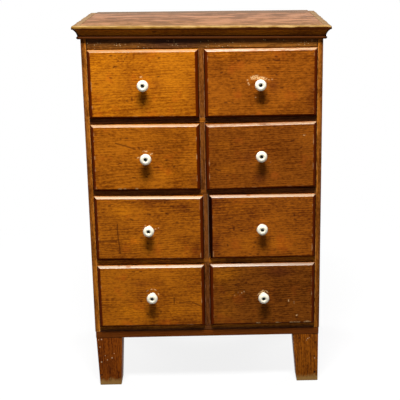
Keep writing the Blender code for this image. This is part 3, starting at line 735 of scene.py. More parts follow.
# Depths below the top at which one finish gives way to the next, each from where it starts to where it is full
TOP_FINISH = (0.0009, 0.0002)
PALE_AND_HIGHLIGHT_FINISH = (0.0032, 0.0020)
GOLD_FINISH = (0.0054, 0.0038)
FILLET_AND_SHADOW_FINISH = (0.0094, 0.0084)
QUIRK_SHADOW_FINISH = (0.0208, 0.0216)
BEAD_SHADE_FINISH = (0.0228, 0.0240)
GOLD_SLANT = 0.0012
GOLD_SLANT_ENDS = (-0.20, 0.25)
RAGGED_BY = 0.0060
CORNICE_RAG_SCALE = 38.0
SPARED_SCALE = (45, 45, 160)
MOTTLE_SCALE = (60, 60, 1)
# Dark varnish at the mitres: how it fades beside the joint and below the arris
MITRE_FINISH = (0.0052, 0.0014)
MITRE_DEPTH = (0.0036, 0.0056)
MITRE_STRENGTH = 0.85


def attribute(tree, name):
    """The values that the mesh keeps under this name."""
    return node(tree, "Attribute", {"attribute_name": name})["Fac"]


def cornice_finish(name, grain, box, rubbed):
    """Dark varnish, weathered to grey-brown on the flat top and darker at the mitres. The lower fillet is dark,
    with a painted shadow under it, a painted shadow lies in the quirk above the bead, and the bead is painted
    dark as shade.
    The fillet's upper part is rubbed down to gold, and the arris to pale wood painted paler as a highlight, both
    with ragged lower edges."""
    made, shader, place, colour = wood(name, box, grain, CORNICE_LIGHT, CORNICE_DARK, CORNICE_LIGHT,
                                       rings=300.0, streaks=2.0, figure=2.4, blotches=2.6, wear=0.001, worn=0.2,
                                       gloss=0.36, sheen=0.02)
    drop = attribute(place.tree, "drop")
    x, y, z = place.xyz()
    ragged = (noise(place, CORNICE_RAG_SCALE, 4.0, 0.6) - 0.5) * RAGGED_BY + drop
    colour = blend(ramp(drop, *FILLET_AND_SHADOW_FINISH), colour, CORNICE_FILLET_AND_SHADOW)
    slanted = ragged + ramp(x, *GOLD_SLANT_ENDS, -GOLD_SLANT, GOLD_SLANT)
    colour = blend(ramp(slanted, *GOLD_FINISH, 0.0, rubbed), colour, CORNICE_GOLD)
    spared = ramp(noise(place, SPARED_SCALE, 3.0, 0.6), 0.40, 0.58, 0.30, 1.0)
    colour = blend(ramp(ragged, *PALE_AND_HIGHLIGHT_FINISH, 0.0, rubbed) * spared, colour, CORNICE_PALE_AND_HIGHLIGHT)
    colour = blend(ramp(drop, *QUIRK_SHADOW_FINISH), colour, CORNICE_QUIRK_SHADOW)
    colour = blend(ramp(drop, *BEAD_SHADE_FINISH), colour, CORNICE_BEAD_SHADE)
    front_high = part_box("cornice_front")[1]
    mitre = front_high.x - CORNICE_PROJECTION + front_high.y
    beside = ramp(abs(mitre - (abs(x) + y)), *MITRE_FINISH, 0.0, MITRE_STRENGTH)
    colour = blend(beside * ramp(drop, *MITRE_DEPTH), colour, CORNICE_CORNER)
    mottle = ramp(noise(place, MOTTLE_SCALE, 3.0), 0.40, 0.60)
    weathered = blend(mottle, CORNICE_TOP, CORNICE_TOP_DARK)
    feed(shader["Base Color"], blend(ramp(drop, *TOP_FINISH), colour, weathered))
    return made


low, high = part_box("cornice_front")
front_y, top_z = high.y, high.z
half = high.x - CORNICE_PROJECTION
mesh = warped(cornice_run("cornice_front", (-half, front_y, top_z), (half, front_y, top_z), (0, -1, 0), 1, 1))
finish = cornice_finish("cornice_front_varnish", "X", (low, high), 1.0)
placed("cornice_front_run", mesh, finish, "case", "cornice_wood", "cornice_front")
for side, hand in (("left", -1), ("right", 1)):
    low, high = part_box(f"cornice_{side}")
    wall_x = low.x if hand > 0 else high.x
    start, end = (wall_x, low.y + CORNICE_PROJECTION, top_z), (wall_x, high.y, top_z)
    mesh = warped(cornice_run(f"cornice_{side}", start, end, (hand, 0, 0), 1, 0))
    finish = cornice_finish(f"cornice_{side}_varnish", "Y", (low, high), 0.25)
    placed(f"cornice_{side}_run", mesh, finish, "case", "cornice_wood", f"cornice_{side}")

# Drawer boxes
# Each box is two sides and a back of bare pale pine, with a thin bottom slid into grooves. They keep their CAD
# solids, dovetails included, with eased edges.
BOX_EASE = 0.0004
BOX_LIGHT = (0.60, 0.42, 0.235)
BOX_DARK = (0.36, 0.21, 0.095)
BOX_EDGE = (0.55, 0.36, 0.18)
for number in range(1, 9):
    for part, grain, pith in (("box", "Y", (0, 0.06, 0.05)), ("bottom", "X", (0, 0.05, 0.04))):
        name = f"drawer_{number}_{part}"
        finish = wood(f"{name}_pine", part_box(name), grain, BOX_LIGHT, BOX_DARK, BOX_EDGE, pith, rings=170.0,
                      ring_depth=0.5, streaks=0.5, blotches=0.4, wear=0.001, worn=0.5, flecks=0.02,
                      gloss=0.62)[0]
        eased(name, finish, BOX_EASE)

# Drawer fronts
# Thick boards with a wide chamfer all round, dovetailed to the sides and varnished amber. The side and lower
# chamfers are painted dark, a painted shade, as they face away from the light, darkest at their outer rims by
# the gaps. The upper ones are rubbed pale and painted paler still, a painted highlight for the light they
# reflect.
# Fingers have scuffed the faces above the knobs.
CHAMFER = 0.006
END_CHAMFER = 0.0046
ARRIS_SOFTNESS = 0.00035
FACE_STEP = 0.0012
FACE_INSET = 0.00002
BACK_OVERRUN = 0.0001
POINT_WELD = 0.000001
EDGE_OFFSETS = np.array([-0.1, 0.3, 0.8, 1.6, 2.6, 3.6, 4.4, 5.0, 5.4, 5.8, 6.2, 6.6, 7.2, 8.0]) / 1000
# A face is planed by hand: the height of its waves, and their pace across and up it in millimetres
WAVE_HEIGHT = 0.00006
WAVE_PACE = (31, 23)
# How deep each kind of mark goes
RUB_DEPTH = 0.0001
BRUISE_DEPTH = 0.00025
CHIP_DEPTH = 0.0005
# Where the painted shade of the chamfers and its darker rim end, and how softly. On drawer 6 the rim's painted
# shade covers the whole left chamfer, which stands in a deep shadowed gap.
SHADE_OVERLAP = 0.0012
CHAMFER_EDGE_FADE = 0.0006
RIM_REACH = 0.0018
LEFT_RIM_REACH = {6: 0.0062}
RIM_FADE = 0.0011
PALE_FADE = 0.0007
UPPER_INSET = 0.0003
# How far each front falls from its left end to its right where it stands out of the case
SKEWS = {1: 0.0007, 2: -0.0012, 3: 0.0010, 4: -0.0040, 5: 0.0032, 7: 0.0014}
LIP_CLEAR = 0.0002
LIP_STEP = 0.0009
# Marks on each face, in millimetres from its knob: rubs are pale, bruises dark. A mark is its width and points.
RUBS = {
    1: [(1.4, [(-5, 17), (-3, 17)])],
    2: [(1.5, [(-20, 15), (-12, 18), (-6, 18)]), (1.7, [(-17, 15), (-6, 15), (5, 14), (13, 12)]),
        (1.5, [(-19, 12), (-8, 12), (4, 12), (11, 10)]), (1.2, [(-28, 9), (-27, 9)]),
        (1.3, [(-26, 3), (-26, 2)]), (1.0, [(-25, -1), (-24, -1)]), (1.0, [(25, 10), (26, 10)]),
        (0.9, [(18, 9), (19, 9)]), (0.9, [(-11, -29), (-10, -29)])],
    3: [(1.2, [(-6, 14), (-2, 15), (2, 14)]), (1.5, [(9, 7), (13, 9)]), (1.0, [(-19, 0), (-15, 1)])],
    4: [(1.1, [(94, 42), (96, 42)]), (0.6, [(20, -17), (21, -17)])],
    5: [(0.9, [(-9, 8), (-8, 9)]), (1.0, [(0, 8), (2, 9)]), (1.0, [(13, 0), (15, 1)]),
        (0.9, [(21, 3), (21, 4)])],
    7: [(0.9, [(-12, 12), (-10, 14)]), (0.9, [(-3, 16), (1, 17)]), (0.9, [(5, 16), (9, 14)]),
        (0.8, [(13, 6), (14, 3)])],
    8: [(1.1, [(-13, 2), (-8, 8), (0, 13)]), (1.0, [(-9, 3), (-3, 9), (3, 11)]), (1.0, [(5, 12), (10, 8)]),
        (0.9, [(58, -11), (58, -16)]), (0.9, [(70, -16), (71, -20)]), (1.3, [(76, -50), (78, -49)]),
        (0.6, [(-58, 10), (-58, 8)]), (0.6, [(-54, 4), (-54, 2)]), (0.6, [(-50, 9), (-49, 7)]),
        (0.6, [(-66, 3), (-65, 1)]), (0.6, [(-45, 12), (-44, 10)]), (1.1, [(96, -66), (104, -65)])],
}
BRUISES = {
    1: [(1.2, [(-68, 63), (-65, 63)]), (1.2, [(35, 57), (37, 58)]), (1.1, [(-71, 16), (-67, 15)]),
        (1.1, [(32, 17), (35, 18)]), (1.0, [(-25, -27), (-25, -35)]), (0.9, [(-63, 37), (-60, 40), (-54, 39)]),
        (1.3, [(-113, -60), (-111, -64)]), (0.9, [(-58, 62), (-57, 62)]), (0.9, [(-50, 58), (-49, 57)]),
        (0.9, [(-44, 63), (-43, 63)]), (0.9, [(-38, 55), (-37, 55)]), (0.9, [(-33, 60), (-32, 61)]),
        (0.9, [(-52, 52), (-51, 52)]), (0.9, [(-41, 50), (-40, 51)])],
    2: [(1.3, [(-49, 51), (-45, 51)]), (1.5, [(33, 59), (36, 58)]), (1.2, [(28, 52), (34, 50), (41, 51)]),
        (1.3, [(34, 20), (36, 19)]), (1.2, [(-60, -9), (-56, -8)]), (1.3, [(-86, 26), (-82, 27)]),
        (1.2, [(-77, -39), (-73, -39)]), (1.3, [(44, -9), (49, -9)])],
    3: [(1.4, [(60, -21), (62, -21)]), (1.1, [(-43, 44), (-39, 44)]), (1.4, [(-17, 23), (-14, 21)]),
        (1.0, [(-66, 33), (-42, 26), (-23, 19)]), (1.1, [(43, -6), (46, -6)]), (1.0, [(-60, -12), (-54, -12)]),
        (1.0, [(16, -22), (28, -23)]), (1.1, [(-31, -45), (-25, -45)])],
    4: [(1.4, [(66, 29), (72, 31)]), (1.3, [(88, 14), (90, 16)]), (1.0, [(-101, -29), (-96, -32), (-90, -32)])],
    5: [(1.0, [(-70, 12), (-71, 0), (-70, -16), (-69, -28), (-67, -46), (-67, -57)]),
        (1.0, [(-116, -28), (-95, -28), (-73, -27)]), (1.3, [(-88, 55), (-84, 55)]),
        (1.1, [(-36, 62), (-32, 62)]), (1.2, [(37, 64), (37, 60)]), (1.4, [(50, 54), (56, 52)]),
        (1.3, [(84, 45), (91, 45)]), (1.2, [(-41, 24), (-36, 22)]), (1.2, [(-3, 36), (4, 35)]),
        (1.2, [(38, 37), (44, 35)]), (1.5, [(-5, -33), (-3, -33)]), (1.2, [(62, 15), (65, 15)])],
    6: [(1.5, [(73, 29), (73, 26)]), (1.4, [(74, 17), (77, 16)]), (1.3, [(-63, 1), (-63, -5)]),
        (1.2, [(-48, -6), (-45, -6)]), (1.6, [(-16, -36), (-14, -36)]), (1.2, [(-19, -46), (-17, -46)]),
        (1.2, [(-78, -39), (-77, -43)]), (1.2, [(-28, -63), (-25, -63)]), (1.2, [(-11, -64), (-8, -63)]),
        (1.2, [(-99, -62), (-96, -62)])],
    7: [(1.1, [(49, -5), (49, -19)]), (0.8, [(61, -18), (72, -17), (84, -16)]), (1.3, [(83, -16), (85, -16)]),
        (0.9, [(90, -17), (103, -23), (115, -30)]), (1.2, [(-28, -12), (-25, -14)]),
        (1.2, [(-14, -44), (-10, -44)]), (1.1, [(18, -38), (18, -41)]), (1.0, [(-45, 60), (-39, 59)]),
        (1.2, [(-27, 59), (-23, 59)])],
    8: [(1.5, [(-92, 9), (-90, 9)]), (1.2, [(-56, 40), (-54, 39)]), (1.0, [(-58, 30), (-56, 29)]),
        (1.1, [(-68, 40), (-66, 39)]), (1.1, [(-46, 40), (-44, 39)]), (1.0, [(-40, 33), (-38, 33)]),
        (1.0, [(-64, 28), (-62, 27)]), (1.0, [(-49, 48), (-47, 48)]), (0.9, [(-52, 34), (-51, 34)]),
        (0.9, [(-35, 41), (-34, 41)])],
}
BRUISE_SPREAD = 1.3
# Chips along the lower arris of a front: where each is, in millimetres from the knob, and its length
CHIPS = {
    3: [(-63, 6), (-50, 3), (-25, 4)],
    8: [(-16, 8), (30, 4), (62, 6), (72, 7), (80, 4), (94, 6), (100, 4), (106, 3)],
}
CHIP_WIDTH = 1.3
# Dark nicks in the worn upper chamfer: place along it in millimetres from the knob, length, share of its height
NICKS = {4: [(4, 12, 0.5)], 6: [(-30, 6, 0.2)], 7: [(-74, 3, 0.1), (-53, 8, 0.5), (35, 4, 0.1)]}
NICK_FADE = 1.2
NICK_HEIGHT = 0.28
NICK_STRENGTH = 0.85
# Soft golden or browner patches: middle and reach in millimetres from the knob, change of brightness. The dark
# ones close round a knob are grime and painted shade about the knob.
PATCHES = {
    1: [(112, -9, 14, 40, -0.28), (-28, -1, 12, 14, -0.25), (29, -1, 12, 14, -0.25), (-100, 47, 25, 15, 0.27),
        (-10, 68, 32, 8, -0.22), (-79, -57, 30, 11, 0.22)],
    2: [(-82, 64, 26, 11, 0.42), (28, -3, 12, 14, -0.34), (114, -25, 14, 45, -0.30), (-103, -58, 16, 12, 0.25)],
    3: [(106, -53, 12, 16, -0.29), (24, 66, 22, 8, -0.22), (29, 20, 13, 10, -0.22), (45, -38, 22, 11, 0.24)],
    4: [(-2, -53, 16, 12, -0.36), (-29, -4, 11, 14, -0.28), (-80, -29, 22, 13, 0.28), (-85, 24, 20, 13, 0.26)],
    5: [(3, 57, 16, 10, -0.31), (36, 68, 22, 8, -0.31), (75, 52, 22, 10, -0.30), (-34, -29, 19, 13, 0.33),
        (-62, 41, 22, 13, 0.31), (106, -50, 12, 16, -0.31)],
    6: [(-104, -40, 11, 26, -0.38), (-104, 60, 11, 16, -0.38), (-54, 48, 24, 13, 0.35), (41, -38, 24, 13, 0.30),
        (-29, -38, 16, 12, 0.28), (-23, 36, 6, 6, -0.25), (-23, -2, 6, 6, -0.25)],
    7: [(-25, 30, 20, 10, -0.31), (-30, 2, 10, 12, -0.26), (13, 30, 15, 9, -0.26), (-61, -35, 27, 13, 0.30),
        (-30, -47, 22, 10, 0.25), (47, -40, 22, 13, 0.25)],
    8: [(-92, 48, 28, 20, 0.75), (-69, 57, 22, 12, 0.40), (-76, 1, 22, 16, 0.50), (-89, -41, 22, 16, 0.40),
        (35, 58, 34, 15, -0.42)],
}
TONE_LIMITS = (-0.6, 1.3)


def front_stations(low, high):
    """Grid lines across a front: close together over the chamfers and even between them."""
    inner = EDGE_OFFSETS[-1]
    count = round((high - low - 2 * inner) / FACE_STEP)
    middle = np.linspace(low + inner, high - inner, count + 1)[1:-1]
    return np.concatenate([low + EDGE_OFFSETS, middle, high - EDGE_OFFSETS[::-1]])


def marked(x, z, marks, spread=1.0):
    """How strongly any of these scratches marks each place: 1 on its line, fading over its width."""
    strength = np.zeros(x.shape)
    for width, points in marks:
        for (ax, az), (bx, bz) in zip(points, points[1:]):
            length = (bx - ax) ** 2 + (bz - az) ** 2
            share = np.clip(((x - ax) * (bx - ax) + (z - az) * (bz - az)) / length, 0, 1)
            reach = np.hypot(x - ax - share * (bx - ax), z - az - share * (bz - az))
            strength = np.maximum(strength, np.exp(-((reach / (spread * width)) ** 2)))
    return strength


def fading(value, fade):
    """A step from 0 to 1 where the value passes 0, spread over the width of the fade."""
    return np.clip(value / fade + 0.5, 0, 1)


def front_mesh(number):
    """The face as a height over X and Z: min(distance to the nearest edge, chamfer), rounded at the arris,
    less the depth of its marks. It is closed by walls and a back, then cut to the joints of its CAD solid."""
    name = f"drawer_{number}_front"
    low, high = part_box(name)
    x, z = np.meshgrid(front_stations(low.x, high.x), front_stations(low.z, high.z))
    to_side = np.minimum(x - low.x, high.x - x)
    to_head = (high.z - z) * CHAMFER / END_CHAMFER
    to_end = np.minimum((z - low.z) * CHAMFER / END_CHAMFER, to_head)
    inset = np.minimum(to_side, to_end)
    rise = inset - ARRIS_SOFTNESS * np.log1p(np.exp((inset - CHAMFER) / ARRIS_SOFTNESS))
    middle = sum(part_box(f"drawer_{number}_knob"), Vector()) / 2
    u, w = (x - middle.x) * 1000, (z - middle.z) * 1000
    rubs = marked(u, w, RUBS.get(number, []))
    bruises = marked(u, w, BRUISES.get(number, []), BRUISE_SPREAD)
    foot = (low.z + END_CHAMFER - middle.z) * 1000
    chip_lines = [(CHIP_WIDTH, [(at, foot), (at + length, foot)]) for at, length in CHIPS.get(number, [])]
    chips = marked(u, w, chip_lines)
    wave = WAVE_HEIGHT * np.sin(u / WAVE_PACE[0] + number) * np.sin(w / WAVE_PACE[1] + 2 * number)
    depth = BRUISE_DEPTH * bruises + RUB_DEPTH * rubs + CHIP_DEPTH * chips + np.abs(wave) + FACE_INSET
    nicks = np.zeros(x.shape)
    for at, length, share in NICKS.get(number, []):
        beyond = np.clip(np.abs(u - at) - length / 2, 0, None) / NICK_FADE
        nicks = np.maximum(nicks, np.exp(-(beyond**2) - ((inset / CHAMFER - share) / NICK_HEIGHT) ** 2))
    tone = np.zeros(x.shape)
    for at_x, at_z, reach_x, reach_z, strength in PATCHES.get(number, []):
        tone += strength * np.exp(-(((u - at_x) / reach_x) ** 2) - ((w - at_z) / reach_z) ** 2)
    upper = (to_head < to_side) & (z > middle.z)
    at_sides = to_side < to_end
    shade_edge = CHAMFER + SHADE_OVERLAP * at_sides
    rim_reach = np.where((x < middle.x) & at_sides, LEFT_RIM_REACH.get(number, RIM_REACH), RIM_REACH)
    bare = fading(CHAMFER - inset, CHAMFER_EDGE_FADE) * np.clip((inset - UPPER_INSET) / CHAMFER_EDGE_FADE, 0, 1)
    # Masks of the painted shade on the side and lower chamfers and their rims, and of the upper chamfer, worn
    # pale and painted as a highlight
    values = {
        "rubbed": np.maximum(rubs, chips),
        "bruised": bruises,
        "tone": np.clip(tone, *TONE_LIMITS),
        "chamfer": fading(shade_edge - inset, CHAMFER_EDGE_FADE) * ~upper,
        "upper": bare * upper * (1 - NICK_STRENGTH * nicks),
        "rim": np.clip((rim_reach - inset) / RIM_FADE, 0, 1) * ~upper,
        "arris": np.exp(-(((inset - shade_edge) / PALE_FADE) ** 2)) * ~upper,
    }
    face = np.stack([x, low.y + CHAMFER - rise + depth, z], axis=-1)
    points = np.pad(face, ((1, 1), (1, 1), (0, 0)), mode="edge")
    rim = np.ones(points.shape[:2], bool)
    rim[1:-1, 1:-1] = False
    points[rim, 1] = high.y + BACK_OVERRUN
    mesh = mesh_of(name, points, grid_quads(*rim.shape, closed=False))
    for label, value in values.items():
        kept = mesh.attributes.new(label, "FLOAT", "POINT")
        kept.data.foreach_set("value", np.pad(value, 1, mode="edge").astype(np.float32).ravel())
    cut = cut_to_joints(name, welded(mesh, closed=True))
    return askew(cut, SKEWS.get(number, 0.0), (low.x + high.x) / 2, high.x - low.x)


def welded(mesh, closed=False):
    """A mesh with its doubled points merged and, if it is to be closed, its open back filled."""
    bm = bmesh.new()
    bm.from_mesh(mesh)
    bmesh.ops.remove_doubles(bm, verts=bm.verts, dist=POINT_WELD)
    if closed:
        bmesh.ops.holes_fill(bm, edges=bm.edges, sides=0)
        bmesh.ops.recalc_face_normals(bm, faces=bm.faces)
    bm.to_mesh(mesh)
    bm.free()
    return mesh


def cut_to_joints(name, mesh):
    """The part of the mesh inside the CAD front, which has the dovetail sockets, groove and bolt hole."""
    solid = welded(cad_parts[name].data.copy())
    pair = [bpy.data.objects.new("cut", shape) for shape in (mesh, solid)]
    for shape in pair:
        bpy.context.scene.collection.objects.link(shape)
    cut = pair[0].modifiers.new("joints", "BOOLEAN")
    cut.operation = "INTERSECT"
    cut.solver = "MANIFOLD"
    cut.object = pair[1]
    made = bpy.data.meshes.new_from_object(pair[0].evaluated_get(bpy.context.evaluated_depsgraph_get()))
    for shape in pair:
        bpy.data.objects.remove(shape)
    made.set_sharp_from_angle(angle=SHARP_ANGLE)
    return made


def askew(mesh, fall, middle, width):
    """Lets the part of a front that stands out of the case fall by this much from its left end to its right."""
    case_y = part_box("left_side")[0].y
    bm = bmesh.new()
    bm.from_mesh(mesh)
    for depth in (-LIP_CLEAR, LIP_STEP):
        every = [*bm.verts, *bm.edges, *bm.faces]
        plane = {"plane_co": (0, case_y + depth, 0), "plane_no": (0, 1, 0)}
        bmesh.ops.bisect_plane(bm, geom=every, dist=POINT_WELD, **plane)
    for vert in bm.verts:
        if vert.co.y < case_y:
            vert.co.z -= fall * (vert.co.x - middle) / width
    bm.to_mesh(mesh)
    bm.free()
    return mesh


# The varnish of each front, where it is thin and where it is thick
AMBER = {
    1: ((0.537, 0.168, 0.006), (0.210, 0.048, 0.002)),
    2: ((0.361, 0.099, 0.006), (0.125, 0.027, 0.002)),
    3: ((0.444, 0.130, 0.006), (0.158, 0.036, 0.002)),
    4: ((0.295, 0.080, 0.006), (0.100, 0.021, 0.002)),
    5: ((0.440, 0.129, 0.006), (0.145, 0.032, 0.003)),
    6: ((0.351, 0.096, 0.006), (0.108, 0.022, 0.003)),
    7: ((0.465, 0.138, 0.006), (0.158, 0.036, 0.003)),
    8: ((0.236, 0.066, 0.006), (0.071, 0.016, 0.002)),
}
# Pale colour of each upper chamfer, at its left end and at its right: bare wood, painted paler still as a
# highlight for the lamp it reflects; and how much of it shows at least
UPPER_WORN_AND_HIGHLIGHT = {
    1: ((0.360, 0.200, 0.085), (0.425, 0.250, 0.115)),
    2: ((0.520, 0.415, 0.285), (0.450, 0.295, 0.165)),
    3: ((0.460, 0.290, 0.150), (0.450, 0.285, 0.155)),
    4: ((0.430, 0.275, 0.165), (0.430, 0.270, 0.150)),
    5: ((0.520, 0.375, 0.215), (0.540, 0.395, 0.230)),
    6: ((0.480, 0.335, 0.215), (0.470, 0.315, 0.180)),
    7: ((0.490, 0.370, 0.250), (0.530, 0.415, 0.280)),
    8: ((0.530, 0.405, 0.300), (0.330, 0.215, 0.140)),
}
UPPER_WEAR = {1: 0.55, 2: 0.45, 3: 0.70, 4: 0.45, 5: 0.90, 6: 0.75, 7: 0.85, 8: 0.75}
# Painted shade of the side and lower chamfers, of their outer rims, and of drawer 6's left chamfer in its deep
# gap
CHAMFER_SHADE = (0.100, 0.013, 0.0005)
CHAMFER_RIM_SHADE = (0.026, 0.004, 0.0005)
DEEP_RIM_SHADOW = (0.009, 0.0012, 0.0003)
ARRIS_PALE = (0.66, 0.36, 0.15)
ARRIS_SHOWN = 0.7
SCUFF_PALE = (0.80, 0.50, 0.22)
SCUFF_SCALE = 420.0
BRUISE_DARK = (0.060, 0.012, 0.003)
BRUISE_STRENGTH = 0.85
UPPER_SCALE = (70, 260, 260)
UPPER_MOST = 0.92
# Warmer patches of the varnish: their fineness, strength and change of red and green
WARM_SCALE = 26.0
WARM_STRENGTH = 0.35
WARM_RED = 1.1
WARM_GREEN = 0.75
# Green follows the tone of a patch more than red does
TONE_GREEN = 1.2
FRONT_SPECK_DRAW = (0.5, 1, 1)
FRONT_SPECK_STRENGTH = 0.7
FRONT_ROUGHNESS = (0.46, 0.34)
FRONT_SHEEN = 0.011
FRONT_BUMP = 0.10
WAX_ROUGHNESS = 0.32


def front_finish(number):
    """Amber varnish over fine grain, with specks, the marks of this front and its chamfers: the side and lower
    ones painted dark as shade, and the upper one rubbed pale and painted paler as a highlight.
    """
    made, shader, place = bare_material(f"drawer_{number}_amber")
    tree = place.tree
    light, dark = AMBER[number]
    # Each front is cut from another place in the log
    pith = (0.3 * number, 0.13 + 0.012 * (number % 3), -0.72 + 0.081 * number)
    tilt = (0, 0.05 - 0.02 * (number % 4), 0.06 - 0.03 * (number % 3))
    log, tones = grained(place, "X", pith, tilt, Light=light, Dark=dark, Rings=210.0, Ring_Depth=0.3,
                         Streaks=1.6, Blotches=1.5, Pores=0.3, Figure=2.2)
    spots = use(specks, Vector=log.scaled(*FRONT_SPECK_DRAW), Scale=75.0, Share=0.16, Size=0.17)["Mask"]
    colour = blend(spots * FRONT_SPECK_STRENGTH, tones["Color"], BRUISE_DARK)
    warm = ramp(noise(place, WARM_SCALE, 3.0), 0.56, 0.74, 0.0, WARM_STRENGTH)
    colour = blend(warm, colour, (light[0] * WARM_RED, light[1] * WARM_GREEN, light[2]))
    tone = attribute(tree, "tone")
    colour = tinted(colour, tone + 1.0, tone * TONE_GREEN + 1.0)
    colour = blend(attribute(tree, "bruised") * BRUISE_STRENGTH, colour, BRUISE_DARK)
    colour = blend(attribute(tree, "chamfer"), colour, CHAMFER_SHADE)
    colour = blend(attribute(tree, "rim"), colour, DEEP_RIM_SHADOW if number in LEFT_RIM_REACH else CHAMFER_RIM_SHADE)
    low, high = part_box(f"drawer_{number}_front")
    bare = blend(ramp(place.xyz()[0], low.x, high.x), *UPPER_WORN_AND_HIGHLIGHT[number])
    fade = ramp(noise(place, UPPER_SCALE, 3.0), 0.34, 0.60, UPPER_WEAR[number], UPPER_MOST)
    upper = attribute(tree, "upper") * fade
    colour = blend(upper, colour, bare)
    thin = attribute(tree, "arris") * ramp(noise(place, 70.0, 3.0), 0.52, 0.72, 0.0, ARRIS_SHOWN)
    colour = blend(thin, colour, ARRIS_PALE)
    scuffed = attribute(tree, "rubbed") * ramp(noise(place, SCUFF_SCALE), 0.3, 0.6)
    feed(shader["Base Color"], blend(scuffed, colour, SCUFF_PALE))
    feed(shader["Roughness"], ramp(tones["Height"], *HEIGHT_RANGE, *FRONT_ROUGHNESS))
    feed(shader["Coat Weight"], upper)
    feed(shader["Coat Roughness"], WAX_ROUGHNESS)
    feed(shader["Specular IOR Level"], FRONT_SHEEN)
    feed(shader["Normal"], relief(tones["Height"], FRONT_BUMP))
    return made


for number in range(1, 9):
    mesh = front_mesh(number)
    body = f"drawer_{number}"
    placed(f"{body}_face", mesh, front_finish(number), body, "drawer_front_wood", f"{body}_front")

# Knobs
# White glazed porcelain mushrooms, pressed and turned, each with a recess in its crown for the head of the bolt
# that holds it to the front.
KNOB_STEPS = 48
KNOB_EASE = 0.0008
CROWN_DROP = 0.0009
RECESS_RADIUS = 0.0039
RECESS_DEPTH = 0.0055
BORE_RADIUS = 0.00255
HEAD_HEIGHT = 0.013
NECK_RADIUS = 0.00625
FLANGE_RADIUS = 0.00825
FLANGE_HEIGHT = 0.003
FLANGE_STEP = 0.0006
GLAZE = (0.88, 0.82, 0.65)
GLAZE_WARM = (0.79, 0.70, 0.52)
GLAZE_POOLED = 0.35


def turned_rings(profile, middle, face_y):
    """A profile of (radius, height) points turned about the knob's axis, which runs from its face to -Y."""
    angle = np.linspace(0, 2 * pi, KNOB_STEPS, endpoint=False)
    radius, height = profile[:, 0][:, None], profile[:, 1][:, None]
    rings = np.empty((len(profile), KNOB_STEPS, 3))
    rings[..., 0] = middle[0] + radius * np.cos(angle)
    rings[..., 1] = face_y - height
    rings[..., 2] = middle[1] + radius * np.sin(angle)
    return rings


def knob_profile(radius, projection, base):
    """From the recess floor out over the crown, round the rim, in to the waist, down to the flange and bore,
    and back to the floor."""
    rim = HEAD_HEIGHT / 2
    lip = arc((RECESS_RADIUS + KNOB_EASE, projection - CROWN_DROP - KNOB_EASE), KNOB_EASE, 180, 90, 5)
    share = np.linspace(0, 1, 6)[1:-1, None]
    crown = lip[-1] + (np.array([radius - rim, projection]) - lip[-1]) * share
    outer = arc((radius - rim, projection - rim), rim, 90, -58, 18)
    drop = np.linspace(0, 1, 10)[1:-1, None]
    waist = outer[-1] + (np.array([FLANGE_RADIUS - FLANGE_STEP, FLANGE_HEIGHT]) - outer[-1]) * drop
    waist[:, 0] -= 4 * drop[:, 0] * (1 - drop[:, 0]) * (waist[:, 0].mean() - NECK_RADIUS)
    flange = arc((FLANGE_RADIUS - KNOB_EASE, FLANGE_HEIGHT - KNOB_EASE), KNOB_EASE, 80, 0, 5)
    recess = projection - RECESS_DEPTH
    foot = np.array([[FLANGE_RADIUS, base], [BORE_RADIUS, base], [BORE_RADIUS, recess]])
    floor = np.array([[RECESS_RADIUS, recess]])
    return np.concatenate([floor, lip, crown, outer, waist, flange, foot, floor])


def porcelain():
    """White glaze, a little warmer where it pools and crazed with age."""
    made, shader, place = bare_material("white_glaze")
    pool = ramp(noise(place, 90.0), 0.4, 0.7, 0.0, GLAZE_POOLED)
    feed(shader["Base Color"], blend(pool, GLAZE, GLAZE_WARM))
    feed(shader["Roughness"], ramp(noise(place, 300.0), 0.3, 0.7, 0.10, 0.2))
    return made


glaze = porcelain()
for number in range(1, 9):
    knob = f"drawer_{number}_knob"
    low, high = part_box(knob)
    face_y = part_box(f"drawer_{number}_front")[0].y
    profile = knob_profile((high.x - low.x) / 2, face_y - low.y, face_y - high.y)
    rings = turned_rings(profile, ((low.x + high.x) / 2, (low.z + high.z) / 2), face_y)
    mesh = mesh_of(knob, rings[::-1], grid_quads(*rings.shape[:2]))
    placed(f"drawer_{number}_porcelain", mesh, glaze, f"drawer_{number}", "porcelain", knob)

# Bolts
# Dark steel bolts with a slotted dome head in the knob's recess and a square nut inside the drawer, which draws
# the knob up against the front. They have tarnished, and rust has started.
BOLT_STEPS = 48
DOME_STEPS = 16
SLOT_HALF = 0.0005
SLOT_DEPTH = 0.0009
SLOT_SOFTNESS = 0.00008
SHANK_RADIUS = 0.00225
HEAD_CLEAR = 0.0003
DOME_RISE = 0.0019
HEAD_THICKNESS = 0.0025
NUT_HEIGHT = 0.004
NUT_FLAT_SHARE = 0.86
TIP_SHARE = 0.02
STEEL = (0.012, 0.016, 0.015)
RUST = (0.020, 0.016, 0.010)
STEEL_ROUGHNESS = 0.32
RUST_ROUGHNESS = 0.72


